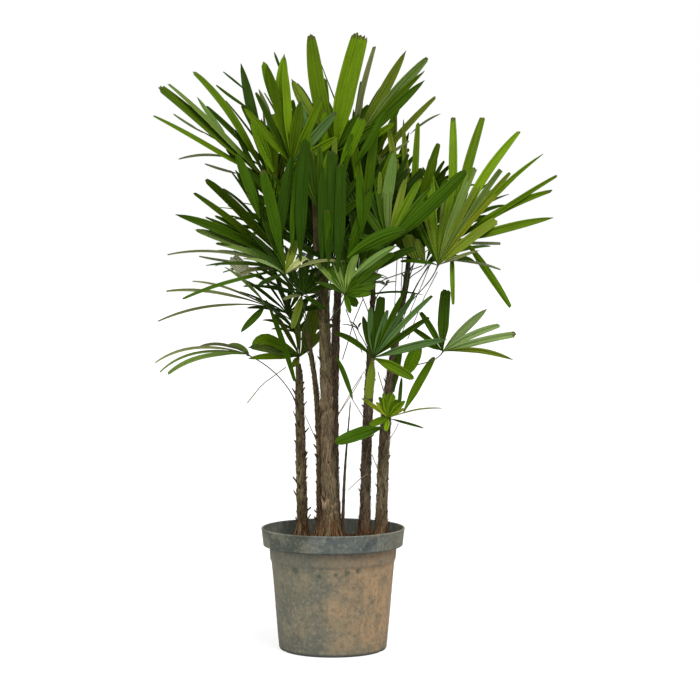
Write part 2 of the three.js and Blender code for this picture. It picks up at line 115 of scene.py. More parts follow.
class Skin:
    """The points, faces, material slots and map of one piece, gathered tube by tube."""

    def __init__(self):
        self.points = []
        self.corners = []
        self.sizes = []
        self.slots = []
        self.places = []
        self.count = 0
        self.materials = []

    def slot(self, material):
        """The number of a material on this piece, which is added when it is new."""
        if material not in self.materials:
            self.materials.append(material)
        return self.materials.index(material)

    def tube(self, rings, across, along, slots=0):
        """Skins rings of points, which turn right-handed about the way they travel, and closes both ends.

        rings is (number, sides, 3) with an even number of sides. across has sides + 1 map values and
        along has one for each ring. slots is one number, or one for each face between rings."""
        number, sides, _ = rings.shape
        start = self.count
        self.points.append(rings.reshape(-1, 3))
        self.count += number * sides
        i = np.arange(sides)
        r = np.arange(number - 1)[:, None]
        a = start + r * sides + i
        b = start + r * sides + (i + 1) % sides
        quads = np.stack([a, b, b + sides, a + sides], axis=-1).reshape(-1, 4)
        slots = np.broadcast_to(slots, (number - 1, sides))
        u = np.broadcast_to(across, (number - 1, sides + 1))
        v = np.broadcast_to(np.asarray(along, float)[:, None], (number, sides))
        place = np.stack(
            [
                np.stack([u[:, :-1], u[:, 1:], u[:, 1:], u[:, :-1]], axis=-1),
                np.stack([v[:-1], v[:-1], v[1:], v[1:]], axis=-1),
            ],
            axis=-1,
        )
        self.add(quads, np.asarray(slots).ravel(), place.reshape(-1, 2))
        for ring, turned in ((0, True), (number - 1, False)):
            self.cap(start + ring * sides, sides, turned, slots[min(ring, number - 2)], across, along[ring])

    def cap(self, start, sides, turned, slots, across, along):
        """Closes a ring with faces that join each of its points to the one across from it."""
        for j in range(sides // 2):
            face = list(dict.fromkeys([j, j + 1, sides - j - 1, (sides - j) % sides]))
            corners = np.array(face[::-1] if turned else face)
            place = np.stack([np.asarray(across)[corners], np.full(len(corners), along)], axis=-1)
            self.add(start + corners[None, :], slots[j : j + 1], place)

    def add(self, faces, slots, places):
        """Adds faces that all have as many corners, with a slot for each and a place for each corner."""
        self.corners.append(faces.ravel())
        self.sizes.append(np.full(len(faces), faces.shape[1]))
        self.slots.append(slots)
        self.places.append(places)

    def piece(self, name, materials=(), sharp=40.0):
        """Makes the object. Edges where faces turn by more than sharp degrees keep a crease."""
        mesh = bpy.data.meshes.new(name)
        points = np.concatenate(self.points)
        corners = np.concatenate(self.corners)
        sizes = np.concatenate(self.sizes)
        mesh.vertices.add(len(points))
        mesh.vertices.foreach_set("co", points.ravel())
        mesh.loops.add(len(corners))
        mesh.loops.foreach_set("vertex_index", corners.astype(np.int32))
        mesh.polygons.add(len(sizes))
        starts = np.concatenate([[0], np.cumsum(sizes)[:-1]])
        mesh.polygons.foreach_set("loop_start", starts.astype(np.int32))
        mesh.polygons.foreach_set("material_index", np.concatenate(self.slots).astype(np.int32))
        layer = mesh.uv_layers.new(name=MAP_NAME)
        layer.uv.foreach_set("vector", np.concatenate(self.places).astype(np.float32).ravel())
        mesh.update(calc_edges=True)
        mesh.validate()
        mesh.shade_smooth()
        mesh.set_sharp_from_angle(angle=math.radians(sharp))
        for material in [*materials, *self.materials]:
            mesh.materials.append(material)
        made = bpy.data.objects.new(name, mesh)
        bpy.context.scene.collection.objects.link(made)
        return made


# %% Round tubes
def lengths_along(path):
    """How far along a path each of its points is."""
    return np.concatenate([[0.0], np.cumsum(np.linalg.norm(np.diff(path, axis=0), axis=1))])


def round_tube(skin, path, radii, sides, reference=(1.0, 0.0, 0.0), slots=0):
    """Skins a round tube along a path of points, with its seam towards a reference direction."""
    directions = unit(np.gradient(path, axis=0))
    u = square_to(np.broadcast_to(np.array(reference, float), path.shape), directions)
    v = np.cross(directions, u)
    turn = np.linspace(0.0, 2.0 * math.pi, sides, endpoint=False)
    around = np.cos(turn)[:, None] * u[:, None, :] + np.sin(turn)[:, None] * v[:, None, :]
    rings = path[:, None, :] + around * np.asarray(radii)[:, None, None]
    skin.tube(rings, np.linspace(0.0, 1.0, sides + 1), lengths_along(path), slots)


def seat(piece, slot, *nodes):
    """Gives a finished piece its body and hides the plain solids that it stands for. slot, its finish slot,
    is not used.
    """
    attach(piece, "root")
    if nodes:
        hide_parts(*nodes)
    triangles = sum(len(face.vertices) - 2 for face in piece.data.polygons)
    print(f"{piece.name}: {triangles} triangles")


# %% [markdown]
# ## Small tools for finishes
#
# Each finish is a node tree. A helper adds a node, sets its values and links its inputs in one call,
# which keeps a material as short as a recipe: a ground colour with one layer after another laid over it.
# What several finishes share is a node group, built once and placed with other values in each.


# %% Node helpers
class Graph:
    """A node tree and short ways to add to it."""

    def __init__(self, tree):
        self.tree = tree

    def link(self, value, socket):
        self.tree.links.new(value, socket)

    def add(self, kind, inputs=None, **settings):
        """A new node. An input is linked when it is a socket, and set when it is a value."""
        node = self.tree.nodes.new(kind)
        for name, value in settings.items():
            setattr(node, name, value)
        for name, value in (inputs or {}).items():
            if isinstance(value, bpy.types.NodeSocket):
                self.link(value, node.inputs[name])
            else:
                node.inputs[name].default_value = value
        return node

    def maths(self, operation, *values, clamp=False):
        inputs = dict(enumerate(values))
        return self.add("ShaderNodeMath", inputs, operation=operation, use_clamp=clamp).outputs[0]

    def times(self, first, *others):
        for other in others:
            first = self.maths("MULTIPLY", first, other)
        return first

    def plus(self, first, second):
        return self.maths("ADD", first, second)

    def vector(self, operation, *values):
        return self.add("ShaderNodeVectorMath", dict(enumerate(values)), operation=operation).outputs

    def parts(self, place):
        """The X, Y and Z of a place."""
        return self.add("ShaderNodeSeparateXYZ", {0: place}).outputs

    def flat(self, x, y):
        """The place with this X and Y."""
        return self.add("ShaderNodeCombineXYZ", {"X": x, "Y": y}).outputs[0]

    def stretched(self, place, factors):
        return self.vector("MULTIPLY", place, factors)["Vector"]

    def apart(self, place, centre, size):
        """How far a place lies from a centre, counted in a size of its own along each axis."""
        offset = self.vector("SUBTRACT", place, centre)["Vector"]
        return self.vector("LENGTH", self.vector("DIVIDE", offset, size)["Vector"])["Value"]

    def spread(self, value, low, high, new_low=0.0, new_high=1.0):
        """The value, moved from one range to another and kept inside it."""
        inputs = {0: value, 1: low, 2: high, 3: new_low, 4: new_high}
        return self.add("ShaderNodeMapRange", inputs).outputs[0]

    def mix(self, share, first, second):
        inputs = {0: share, 6: first, 7: second}
        return self.add("ShaderNodeMix", inputs, data_type="RGBA").outputs[2]

    def over(self, base, mask, colour, strength=1.0):
        """Lays a colour over a base where a mask says so."""
        share = mask if strength == 1.0 else self.times(mask, strength)
        return self.mix(share, base, colour)

    def noise(self, place, scale, detail=2.0, roughness=0.5):
        inputs = {"Vector": place, "Scale": scale, "Detail": detail, "Roughness": roughness}
        return self.add("ShaderNodeTexNoise", inputs).outputs[0]

    def group(self, tree, inputs):
        return self.add("ShaderNodeGroup", inputs, node_tree=tree).outputs


# %% Colours and materials
WHITE = (1.0, 1.0, 1.0, 1.0)


def paint(code, shade=1.0):
    """A linear colour from six hexadecimal digits of screen colour, lightened or darkened by shade."""
    parts = [int(code[k : k + 2], 16) / 255.0 for k in (0, 2, 4)]
    linear = [((c + 0.055) / 1.055) ** 2.4 if c > 0.04045 else c / 12.92 for c in parts]
    return (*[min(1.0, c * shade) for c in linear], 1.0)


def finish(name, roughness, specular):
    """A new material: its graph, its shader and the places on the piece that patterns can use."""
    material = bpy.data.materials.new(name)
    material.use_nodes = True
    graph = Graph(material.node_tree)
    shader = material.node_tree.nodes["Principled BSDF"]
    shader.inputs["Roughness"].default_value = roughness
    shader.inputs["Specular IOR Level"].default_value = specular
    solid = graph.add("ShaderNodeTexCoord").outputs["Object"]
    along = graph.add("ShaderNodeUVMap", uv_map=MAP_NAME).outputs["UV"]
    return material, graph, shader, solid, along


def connect(graph, shader, **sockets):
    names = {"colour": "Base Color", "roughness": "Roughness", "normal": "Normal"}
    for name, value in sockets.items():
        graph.link(value, shader.inputs[names[name]])


def relief(graph, height, strength, distance):
    inputs = {"Height": height, "Strength": strength, "Distance": distance}
    return graph.add("ShaderNodeBump", inputs).outputs["Normal"]


# %% [markdown]
# ## Light
#
# The plant stands in a white studio: a wide soft light high at the front right, a weak one from the left,
# and a white ceiling. To the camera the room is white all round, but its light comes mostly from above,
# which leaves the depth of the crown and the undersides dark, as in a real crown. A picture of a studio
# wrapped round the scene would do too, but two lamps and a few nodes are easier to tune.

# %% The white room
SKY_BELOW = 0.25
SKY_ABOVE = 0.95
SKY_CHANGE = (-0.2, 0.9)  # the height on a globe round the scene where each of them is reached

world = bpy.data.worlds.new("white_room")
world.use_nodes = True
g = Graph(world.node_tree)
height = g.parts(g.add("ShaderNodeTexCoord").outputs["Generated"])["Z"]
light = g.spread(height, *SKY_CHANGE, SKY_BELOW, SKY_ABOVE)
seen = g.add("ShaderNodeLightPath").outputs["Is Camera Ray"]
sky = world.node_tree.nodes["Background"]
sky.inputs["Color"].default_value = WHITE
g.link(g.spread(seen, 0.0, 1.0, light, 1.0), sky.inputs["Strength"])
bpy.context.scene.world = world
bpy.context.scene.view_settings.view_transform = "Standard"
bpy.context.scene.view_settings.look = "None"
print("white room:", len(world.node_tree.nodes), "nodes")

# %% The lamps
KEY_STRENGTH = 2.3
FILL_STRENGTH = 0.9


def soft_sun(name, place, spread, strength):
    """A far lamp that shines from a place to the origin, this many degrees wide."""
    lamp = bpy.data.lights.new(name, "SUN")
    lamp.angle = math.radians(spread)
    lamp.energy = strength
    holder = bpy.data.objects.new(name, lamp)
    holder.location = place
    holder.rotation_euler = (-Vector(place)).to_track_quat("-Z", "Y").to_euler()
    bpy.context.scene.collection.objects.link(holder)


soft_sun("key_lamp", (1.5, -2.4, 4.0), 34.0, KEY_STRENGTH)
soft_sun("fill_lamp", (-3.0, -2.4, 2.0), 60.0, FILL_STRENGTH)
print("two soft lamps")

# %% [markdown]
# ## Effects that several finishes share
#
# - Veins: fine lines that run lengthwise, on leaflets, stalks and dry tips.
# - Blotches: soft patches with an uneven edge, as dirt on the pot, sun on leaves and damp in soil.
# - Strands: two crossing sets of thin fibres, the weave that wraps a lady palm's canes.
# - Grain: fine even speckle for plastic, soil and bark.

# %% Node groups
SOCKETS = {"value": "NodeSocketFloat", "vector": "NodeSocketVector"}


def effect(name, inputs, outputs):
    """A node group with named sockets: its tree, a graph to fill, and its own inputs and outputs."""
    tree = bpy.data.node_groups.new(name, "ShaderNodeTree")
    for title, kind in inputs.items():
        tree.interface.new_socket(name=title, in_out="INPUT", socket_type=SOCKETS[kind])
    for title, kind in outputs.items():
        tree.interface.new_socket(name=title, in_out="OUTPUT", socket_type=SOCKETS[kind])
    graph = Graph(tree)
    source = graph.add("NodeGroupInput").outputs
    sink = graph.add("NodeGroupOutput").inputs
    return tree, graph, source, sink


# %% Veins
VEINS, g, source, sink = effect(
    "Veins",
    {"Place": "vector", "Lines": "value", "Length": "value"},
    {"Height": "value", "Streak": "value"},
)
parts = g.parts(source["Place"])
across = g.times(parts["X"], source["Lines"])
ripple = g.maths("SINE", g.times(across, 2.0 * math.pi))
broken = g.noise(g.flat(across, g.times(parts["Y"], source["Length"])), 1.3, detail=3.0)
g.link(g.times(g.plus(g.times(ripple, 0.5), 0.5), broken), sink["Height"])
g.link(g.spread(broken, 0.35, 0.7), sink["Streak"])
print("veins effect:", len(VEINS.nodes), "nodes")

# %% Blotches
BLOTCHES, g, source, sink = effect(
    "Blotches",
    {"Place": "vector", "Scale": "value", "Cover": "value", "Edge": "value"},
    {"Mask": "value"},
)
broad = g.noise(source["Place"], source["Scale"], detail=4.0, roughness=0.6)
fine = g.noise(source["Place"], g.times(source["Scale"], 7.0), detail=3.0, roughness=0.65)
mixed = g.plus(g.times(broad, 0.75), g.times(fine, 0.25))
limit = g.maths("SUBTRACT", 1.0, source["Cover"])
mask = g.spread(mixed, g.maths("SUBTRACT", limit, source["Edge"]), g.plus(limit, source["Edge"]))
g.link(mask, sink["Mask"])
print("blotches effect:", len(BLOTCHES.nodes), "nodes")


def blotches(g, place, scale, cover, edge):
    """The mask of the blotches effect in a material."""
    return g.group(BLOTCHES, {"Place": place, "Scale": scale, "Cover": cover, "Edge": edge})["Mask"]


# %% Strands
STRANDS, g, source, sink = effect(
    "Strands",
    {"Place": "vector", "Slope": "value", "Count": "value"},
    {"Height": "value", "Gap": "value"},
)
parts = g.parts(source["Place"])
sets = []
for side in (1.0, -1.0):
    slant = g.times(parts["Y"], source["Slope"], side)
    crossing = g.times(g.plus(parts["X"], slant), source["Count"])
    sets.append(g.noise(g.flat(crossing, g.times(parts["Y"], 9.0)), 1.0, roughness=0.55))
height = g.maths("MAXIMUM", *sets)
g.link(height, sink["Height"])
g.link(g.spread(height, 0.42, 0.6, 1.0, 0.0), sink["Gap"])
print("strands effect:", len(STRANDS.nodes), "nodes")

# %% Grain
GRAIN, g, source, sink = effect("Grain", {"Place": "vector", "Scale": "value"}, {"Value": "value"})
g.link(g.noise(source["Place"], source["Scale"], detail=5.0, roughness=0.7), sink["Value"])
print("grain effect:", len(GRAIN.nodes), "nodes")


def grain(g, place, scale):
    """The value of the grain effect in a material."""
    return g.group(GRAIN, {"Place": place, "Scale": scale})["Value"]


# %% [markdown]
# ## Leaf finishes
#
# A leaflet is satin green on top and duller and paler below, with painted sunlight in lighter, yellower
# patches and streaks. Its tip dries to brown. Colour changes from fan to fan: young fans are yellow-green
# and a few are bluish, while the dark shade tone, and in places the deep one, is painted shade on the
# leaflets in the middle of the crown. Each of these tones is a plain colour of its own with the same veins
# over it, and each fan deals three shades of its tone out to its leaflets, so that no two neighbours look
# the same.

# %% Leaf materials
# The shade tone, and the deep one where it is dealt to the middle of the crown, is painted shade: a darker
# colour for leaflets that stand in the crown's shade.
TONES = {
    "fresh": "5f7f11",
    "green": "4b6806",
    "deep": "314c04",
    "shade": "273f07",
    "bluish": "4a6839",
    "yellow": "76861e",
    "olive": "596b1e",
    "sage": "5c7537",
    "dusty": "68804f",
    "pale": "758f56",
    "grey": "66704a",
    "straw": "929c6a",
    "husk": "a7a888",
}
SHADES = (1.0, 0.7, 1.25)
DULLNESS = 0.58  # how dark a leaf is in its lines
# Painted sunlight: these two factors make the sunlit colour painted on a leaf redder and greener than its own
# colour.
PAINTED_SUN_RED = 1.45  # how much redder and greener it is in the sun, which yellows it
PAINTED_SUN_GREEN = 1.3


def leaf_finish(name, colour, dull, light, roughness, specular=0.05):
    """Leaf: painted sunlight in random patches and broad streaks, painted highlights on the raised vein
    lines, and dull along the veins and in blotches.
    """
    material, g, shader, solid, along = finish(name, roughness, specular)
    veins = g.group(VEINS, {"Place": along, "Lines": 3.0, "Length": 9.0})
    ribs = g.group(VEINS, {"Place": along, "Lines": 0.8, "Length": 13.0})
    base = g.over(colour, g.spread(g.noise(solid, 11.0), 0.45, 0.65), light, 0.45)
    base = g.mix(g.times(ribs["Streak"], 0.75), light, base)
    base = g.over(base, veins["Streak"], dull, 0.7)
    base = g.over(base, veins["Height"], light, 0.4)
    base = g.over(base, blotches(g, solid, 16.0, 0.45, 0.12), dull, 0.3)
    gloss = g.spread(veins["Streak"], 0.0, 1.0, roughness - 0.07, roughness + 0.1)
    connect(g, shader, colour=base, roughness=gloss, normal=relief(g, veins["Height"], 0.45, 0.5 * MM))
    return material


def leaf_top(name, code, shade):
    """The upper side of a leaflet in one shade of its tone."""
    colour = paint(code, shade)
    red, green, blue, _ = colour
    painted_sunlight = (PAINTED_SUN_RED * red, PAINTED_SUN_GREEN * green, blue, 1.0)
    return leaf_finish(name, colour, paint(code, DULLNESS * shade), painted_sunlight, 0.42)


leaf_tops = {
    tone: [leaf_top(f"leaf_{tone}_{number}", code, shade) for number, shade in enumerate(SHADES)]
    for tone, code in TONES.items()
}
leaf_below = {
    tone: leaf_finish(f"leaf_{tone}_below", paint(code, 1.15), paint(code, 0.9), paint(code, 1.6), 0.55)
    for tone, code in TONES.items()
}
leaf_dry = leaf_finish("leaf_dry_tip", paint("4c4a20"), paint("2b260e"), paint("5f5a30"), 0.7, 0.15)
print(len(leaf_tops) * len(SHADES), "shades of leaf")


# %% Stalk and sheath materials
def stalk_finish(name, colour, dull):
    """Smooth stalk, dull in fine lines and in patches."""
    material, g, shader, solid, along = finish(name, 0.42, 0.4)
    veins = g.group(VEINS, {"Place": along, "Lines": 9.0, "Length": 12.0})
    base = g.over(colour, veins["Streak"], dull, 0.5)
    base = g.over(base, blotches(g, solid, 22.0, 0.42, 0.1), dull)
    connect(g, shader, colour=base, normal=relief(g, veins["Height"], 0.4, 0.3 * MM))
    return material


def fibre_finish(name, colour, dark, light, count):
    """Old sheath: crossing fibres over a dark ground, bleached in patches."""
    material, g, shader, solid, along = finish(name, 0.85, 0.2)
    strands = g.group(STRANDS, {"Place": along, "Slope": 1.6, "Count": count})
    fuzz = grain(g, solid, 900.0)
    base = g.over(colour, blotches(g, solid, 24.0, 0.42, 0.1), light)
    base = g.over(base, strands["Gap"], dark)
    base = g.over(base, g.spread(fuzz, 0.35, 0.7), dark, 0.35)
    height = g.plus(strands["Height"], g.times(fuzz, 0.25))
    rough = g.spread(fuzz, 0.3, 0.7, 0.75, 0.95)
    connect(g, shader, colour=base, roughness=rough, normal=relief(g, height, 0.8, 1.2 * MM))
    return material


stalk_green = stalk_finish("stalk_green", paint("3f4a1e"), paint("262e14"))
stalk_dry = stalk_finish("stalk_dry", paint("8a7c60"), paint("5d5140"))
sheath_brown = fibre_finish("sheath_brown", paint("5c4b32"), paint("251c11"), paint("8d7853"), 26.0)
print("stalks and sheaths")

# %% [markdown]
# ## Pot
#
# The nursery pot is moulded from thin plastic: a tapering wall, a stepped band under a rolled lip, a
# rounded foot and a faint seam where the mould closed. Its section is a closed line of radius and
# height, turned round the axis. A lathe modifier would do the same, but turning it in code lets each
# point of the wall be dented a little, as old plastic is.

# %% Pot sizes, from its plain solid
LIP_RISE = 5 * MM  # how far the rolled lip stands over the plain solid
WALL = 3.0 * MM

pot_low, pot_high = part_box("pot")
POT_RIM = (pot_high.x - pot_low.x) / 2.0
POT_HEIGHT = pot_high.z + LIP_RISE
BAND_FOOT = POT_HEIGHT - 43 * MM
SHOULDER = POT_RIM - 20 * MM
SHOULDER_FOOT = POT_HEIGHT - 82 * MM
BODY_TOP = POT_RIM - 25.5 * MM
FOOT = POT_RIM - 43 * MM
AROUND = np.linspace(0.0, 2.0 * math.pi, 160, endpoint=False)


def corner(centre, radius, start, end, count):
    """Points on a round corner of the section, from one angle in degrees to another."""
    turns = np.radians(np.linspace(start, end, count))
    return [(centre[0] + radius * math.cos(t), centre[1] + radius * math.sin(t)) for t in turns]


def straight(start, end, count):
    """The points between two ends, without the ends."""
    return [(lerp(start[0], end[0], k / count), lerp(start[1], end[1], k / count)) for k in range(1, count)]


print(f"pot {POT_HEIGHT / MM:.0f} mm high and {2 * POT_RIM / MM:.0f} mm across")

# %% The pot's section
FOOT_ROUND = 8 * MM
STEP_ROUND = 2 * MM
LIP_ROUND = 2.4 * MM
band_side = POT_RIM - 5.5 * MM
band_top = (POT_RIM - 1.2 * MM, POT_HEIGHT - 6 * MM)
shoulder_low = (SHOULDER - 3 * MM, SHOULDER_FOOT + 3 * MM)
inner_band_foot = (band_side - WALL - MM, BAND_FOOT + WALL)
inner_body_top = (SHOULDER - WALL, BAND_FOOT + WALL)
inner_shoulder = (BODY_TOP - WALL, SHOULDER_FOOT)
outer_section = [
    (MM, 0.0),
    *straight((MM, 0.0), (FOOT - FOOT_ROUND, 0.0), 10),
    *corner((FOOT - FOOT_ROUND, FOOT_ROUND), FOOT_ROUND, -90, -8, 7),
    *straight((FOOT, FOOT_ROUND), (BODY_TOP, SHOULDER_FOOT), 40),
    (BODY_TOP, SHOULDER_FOOT),
    (BODY_TOP + 0.7 * MM, SHOULDER_FOOT + 1.2 * MM),
    *straight(shoulder_low, (SHOULDER, BAND_FOOT - STEP_ROUND), 9),
    *corner((SHOULDER + STEP_ROUND, BAND_FOOT - STEP_ROUND), STEP_ROUND, 180, 90, 4),
    *straight((SHOULDER + STEP_ROUND, BAND_FOOT), (band_side - STEP_ROUND, BAND_FOOT), 4),
    *corner((band_side - STEP_ROUND, BAND_FOOT + STEP_ROUND), STEP_ROUND, -90, 0, 5),
    *straight((band_side, BAND_FOOT + STEP_ROUND), band_top, 14),
    *corner((POT_RIM - LIP_ROUND, POT_HEIGHT - LIP_ROUND), LIP_ROUND, -30, 190, 12),
]
inner_section = [
    *straight((POT_RIM - 5 * MM, POT_HEIGHT - 6 * MM), inner_band_foot, 14),
    inner_band_foot,
    *straight(inner_band_foot, inner_body_top, 4),
    *straight(inner_body_top, inner_shoulder, 6),
    *straight(inner_shoulder, (FOOT - WALL, WALL), 22),
    (FOOT - WALL - MM, WALL),
    *straight((FOOT - WALL, WALL), (MM, WALL), 10),
    (MM, WALL),
]
section_line = np.array(outer_section + inner_section)
print("section:", len(section_line), "points")

# %% Dents, mould rings, seam and foot notches
MOULD_RING = 7.0 * MM  # from one ring to the next
SEAM_TURNS = (-77.0, 103.0)
SEAM_HEIGHT = 0.5 * MM
SEAM_WIDTH = 0.9  # in degrees
NOTCH_TURNS = (-155.0, -25.0, 25.0, 155.0)
NOTCH_DEPTH = 2.6 * MM
NOTCH_WIDTH = 2.6  # in degrees
NOTCH_TOP = 9 * MM


def dent(place):
    """How far the wall is pushed out at a place."""
    turn = math.degrees(math.atan2(place.y, place.x))
    broad = 1.1 * MM * noise.noise(place * 11.0)
    small = 0.25 * MM * noise.noise(place * 60.0)
    ring = 0.15 * MM * math.sin(place.z * 2.0 * math.pi / MOULD_RING) * (place.z < SHOULDER_FOOT)
    seam = SEAM_HEIGHT * sum(math.exp(-(((turn - t) / SEAM_WIDTH) ** 2)) for t in SEAM_TURNS)
    notch = NOTCH_DEPTH * sum(math.exp(-(((turn - t) / NOTCH_WIDTH) ** 4)) for t in NOTCH_TURNS)
    return broad + small + ring + seam - notch * (place.z < NOTCH_TOP)


def turned(line):
    """Rings of points from a line of radius and height turned about the axis."""
    flat = [line[:, :1] * np.cos(AROUND), line[:, :1] * np.sin(AROUND)]
    return np.stack([*flat, np.broadcast_to(line[:, 1:], flat[0].shape)], axis=-1)


# %% Turn the pot
pot_rings = turned(section_line)
for k in np.flatnonzero(section_line[:, 0] > FOOT - 2 * FOOT_ROUND):
    push = np.array([dent(Vector(place)) for place in pot_rings[k]])
    pot_rings[k, :, :2] *= (1.0 + push / section_line[k, 0])[:, None]

inner = np.arange(len(section_line) - 1) >= len(outer_section) - 2
pot_skin = Skin()
around = np.linspace(0.0, 1.0, len(AROUND) + 1)
pot_skin.tube(pot_rings, around, lengths_along(section_line), inner.astype(int)[:, None])
print("pot:", pot_skin.count, "points")

# %% [markdown]
# ### Pot plastic
#
# The plastic was black or dark green once. Years outdoors have left lime and dust on it: slate with
# pale smears on the band, grey-green to tan on the body, with darker spots, drip marks that run
# down and fine level scratches. The tan of the body and the paler band on the right, where the key lamp
# falls, are partly painted light, and the dark slate under the band is painted shade. Each of these is
# one mask, and the masks are laid over each other from the oldest to the newest.

# %% Spots on the pot
SPOTS = [  # dark spots on the body: centre and radius, in millimetres
    ((33, -146, 205), 7),
    ((60, -137, 208), 8),
    ((-88, -121, 208), 9),
    ((-30, -146, 196), 6),
    ((8, -146, 200), 5),
]
STREAK = [(78, -150, 262), (88, -146, 271), (97, -142, 280)]  # a dark smear up the band


def spot(g, solid, rough, centre, size):
    """A mask for one soft-edged spot, in millimetres."""
    reach = g.apart(solid, [c * MM for c in centre], [c * MM for c in size])
    return g.spread(g.plus(reach, g.spread(rough, 0.3, 0.7, -0.5, 0.5)), 1.2, 0.6)


# %% Layers of the pot's body
# Painted light, in part: the body's tan on its right side, where the key lamp falls, is partly its own colour
# and partly painted light.
TAN_AND_LIT_SIDE = (-0.06, 0.11)  # between these x the body turns from grey-green to tan
DAMP_SIDE = (-0.03, -0.08)  # between these it turns damp, low on its left
DAMP_HEIGHT = (0.16, 0.08)
WORN_FOOT = (0.07, 0.01)  # between these heights it turns as dull as its foot

pot_plastic, g, shader, solid, _ = finish("pot_plastic", 0.62, 0.4)
parts = g.parts(solid)
cloud = g.noise(solid, 14.0, detail=4.0, roughness=0.6)
rough = g.noise(solid, 110.0, detail=3.0, roughness=0.6)
side = g.plus(parts["X"], g.spread(cloud, 0.3, 0.7, -0.05, 0.05))
level = g.plus(parts["Z"], g.spread(cloud, 0.3, 0.7, -0.02, 0.02))
drips = g.noise(g.stretched(solid, (1.0, 1.0, 0.2)), 60.0, detail=3.0, roughness=0.6)
damp = blotches(g, g.stretched(solid, (1.0, 1.0, 0.4)), 26.0, 0.5, 0.07)
damp = g.times(damp, g.spread(side, *DAMP_SIDE), g.spread(parts["Z"], *DAMP_HEIGHT))
mottle = blotches(g, solid, 95.0, 0.47, 0.05)
dust = blotches(g, solid, 120.0, 0.44, 0.05)

body = g.mix(g.spread(cloud, 0.35, 0.65), paint("84806a"), paint("a59a79"))
body = g.over(body, g.spread(side, *TAN_AND_LIT_SIDE), paint("e2b27a"))
body = g.over(body, g.spread(drips, 0.45, 0.7), paint("6e6b55"), 0.4)
body = g.over(body, damp, paint("4f5b57"), 0.75)
body = g.over(body, g.spread(level, *WORN_FOOT), paint("807b66"), 0.55)
body = g.over(body, blotches(g, solid, 32.0, 0.43, 0.04), paint("625f4b"), 0.36)
body = g.over(body, mottle, paint("5f5b47"), 0.42)
body = g.over(body, dust, paint("c2b594"), 0.5)
for centre, radius in SPOTS:
    body = g.over(body, spot(g, solid, rough, centre, (radius, 20, radius)), paint("3c4530"), 0.7)
shoulder = g.spread(parts["Z"], SHOULDER_FOOT - MM, SHOULDER_FOOT + 2 * MM)
body = g.over(body, shoulder, paint("75796d"), 0.25)
print("pot body")

# %% Layers of the pot's band
BLUE_MIDDLE = 0.035  # the band is bluish around this x
BLUE_FADE = (0.09, 0.05)  # and fades between these distances from it
DUSTY_AND_LIT_SIDE = (0.07, 0.17)

smears = g.noise(g.stretched(solid, (1.0, 1.0, 1.3)), 19.0, detail=5.0, roughness=0.6)
blue = g.spread(g.maths("ABSOLUTE", g.maths("SUBTRACT", side, BLUE_MIDDLE)), *BLUE_FADE)

band = g.over(paint("454a40"), g.spread(smears, 0.42, 0.66), paint("8f8a77"), 0.8)
# Painted light, in part: the band turns paler towards its right side, where the key lamp falls, which is
# partly dust and partly painted light.
band = g.over(band, g.spread(side, *DUSTY_AND_LIT_SIDE), paint("8b8672"), 0.6)
band = g.over(band, blue, paint("5e676a"), 0.6)
band = g.over(band, dust, paint("aaa994"), 0.3)
band = g.over(band, mottle, paint("3d4845"), 0.4)
for centre in STREAK:
    band = g.over(band, spot(g, solid, rough, centre, (9, 30, 9)), paint("26333d"), 0.6)
print("pot band")

# %% Pot plastic, outside
specks = grain(g, solid, 420.0)
scratches = g.noise(g.stretched(solid, (1.0, 1.0, 14.0)), 30.0, detail=4.0, roughness=0.7)
# Painted shade under the band: its slate reaches a few millimetres down over the shoulder, and dark slate
# fades in over its lowest millimetres. That dark slate then stays at the same strength over all of the body,
# and grows to full at the foot.
is_band = g.spread(parts["Z"], BAND_FOOT - 5 * MM, BAND_FOOT - MM)
is_step = g.spread(parts["Z"], BAND_FOOT + 4 * MM, BAND_FOOT + MM, 0.0, 0.5)
is_foot = g.spread(parts["Z"], 9 * MM, 2 * MM)
colour = g.mix(is_band, body, band)
colour = g.over(colour, g.maths("ADD", is_step, is_foot, clamp=True), paint("3a4446"), 0.85)
colour = g.over(colour, g.spread(specks, 0.3, 0.7), paint("5b5a4b"), 0.25)
height = g.plus(g.times(scratches, 0.6), g.times(specks, 0.3))
dullness = g.spread(smears, 0.3, 0.7, 0.5, 0.78)
connect(g, shader, colour=colour, roughness=dullness, normal=relief(g, height, 0.35, 0.6 * MM))
print("pot plastic:", len(pot_plastic.node_tree.nodes), "nodes")

# %% Pot plastic, inside
pot_inside, g, shader, solid, _ = finish("pot_inside", 0.6, 0.4)
smears = g.noise(g.stretched(solid, (1.0, 1.0, 0.4)), 34.0, detail=5.0, roughness=0.62)
specks = grain(g, solid, 420.0)
colour = g.over(paint("555950"), g.spread(smears, 0.45, 0.7), paint("959485"), 0.75)
dullness = g.spread(specks, 0.3, 0.7, 0.5, 0.7)
connect(g, shader, colour=colour, roughness=dullness, normal=relief(g, specks, 0.3, 0.5 * MM))
print("pot inside:", len(pot_inside.node_tree.nodes), "nodes")

# %% [markdown]
# ### Drain holes
#
# Six round holes go through the floor of the pot. They are cut with a Boolean modifier, the surest way
# to clean hole edges in a turned mesh, and the result is kept as the pot's own mesh.

# %% Cut the drain holes
DRAINS = 6
DRAIN_CIRCLE = 95 * MM
DRAIN_RADIUS = 7 * MM


def cut(piece, cutter):
    """Takes one mesh out of another for good and deletes the cutter."""
    step = piece.modifiers.new("cut", "BOOLEAN")
    step.object = cutter
    step.solver = "EXACT"
    finished = bpy.data.meshes.new_from_object(piece.evaluated_get(bpy.context.evaluated_depsgraph_get()))
    piece.modifiers.clear()
    piece.data = finished
    bpy.data.objects.remove(cutter)


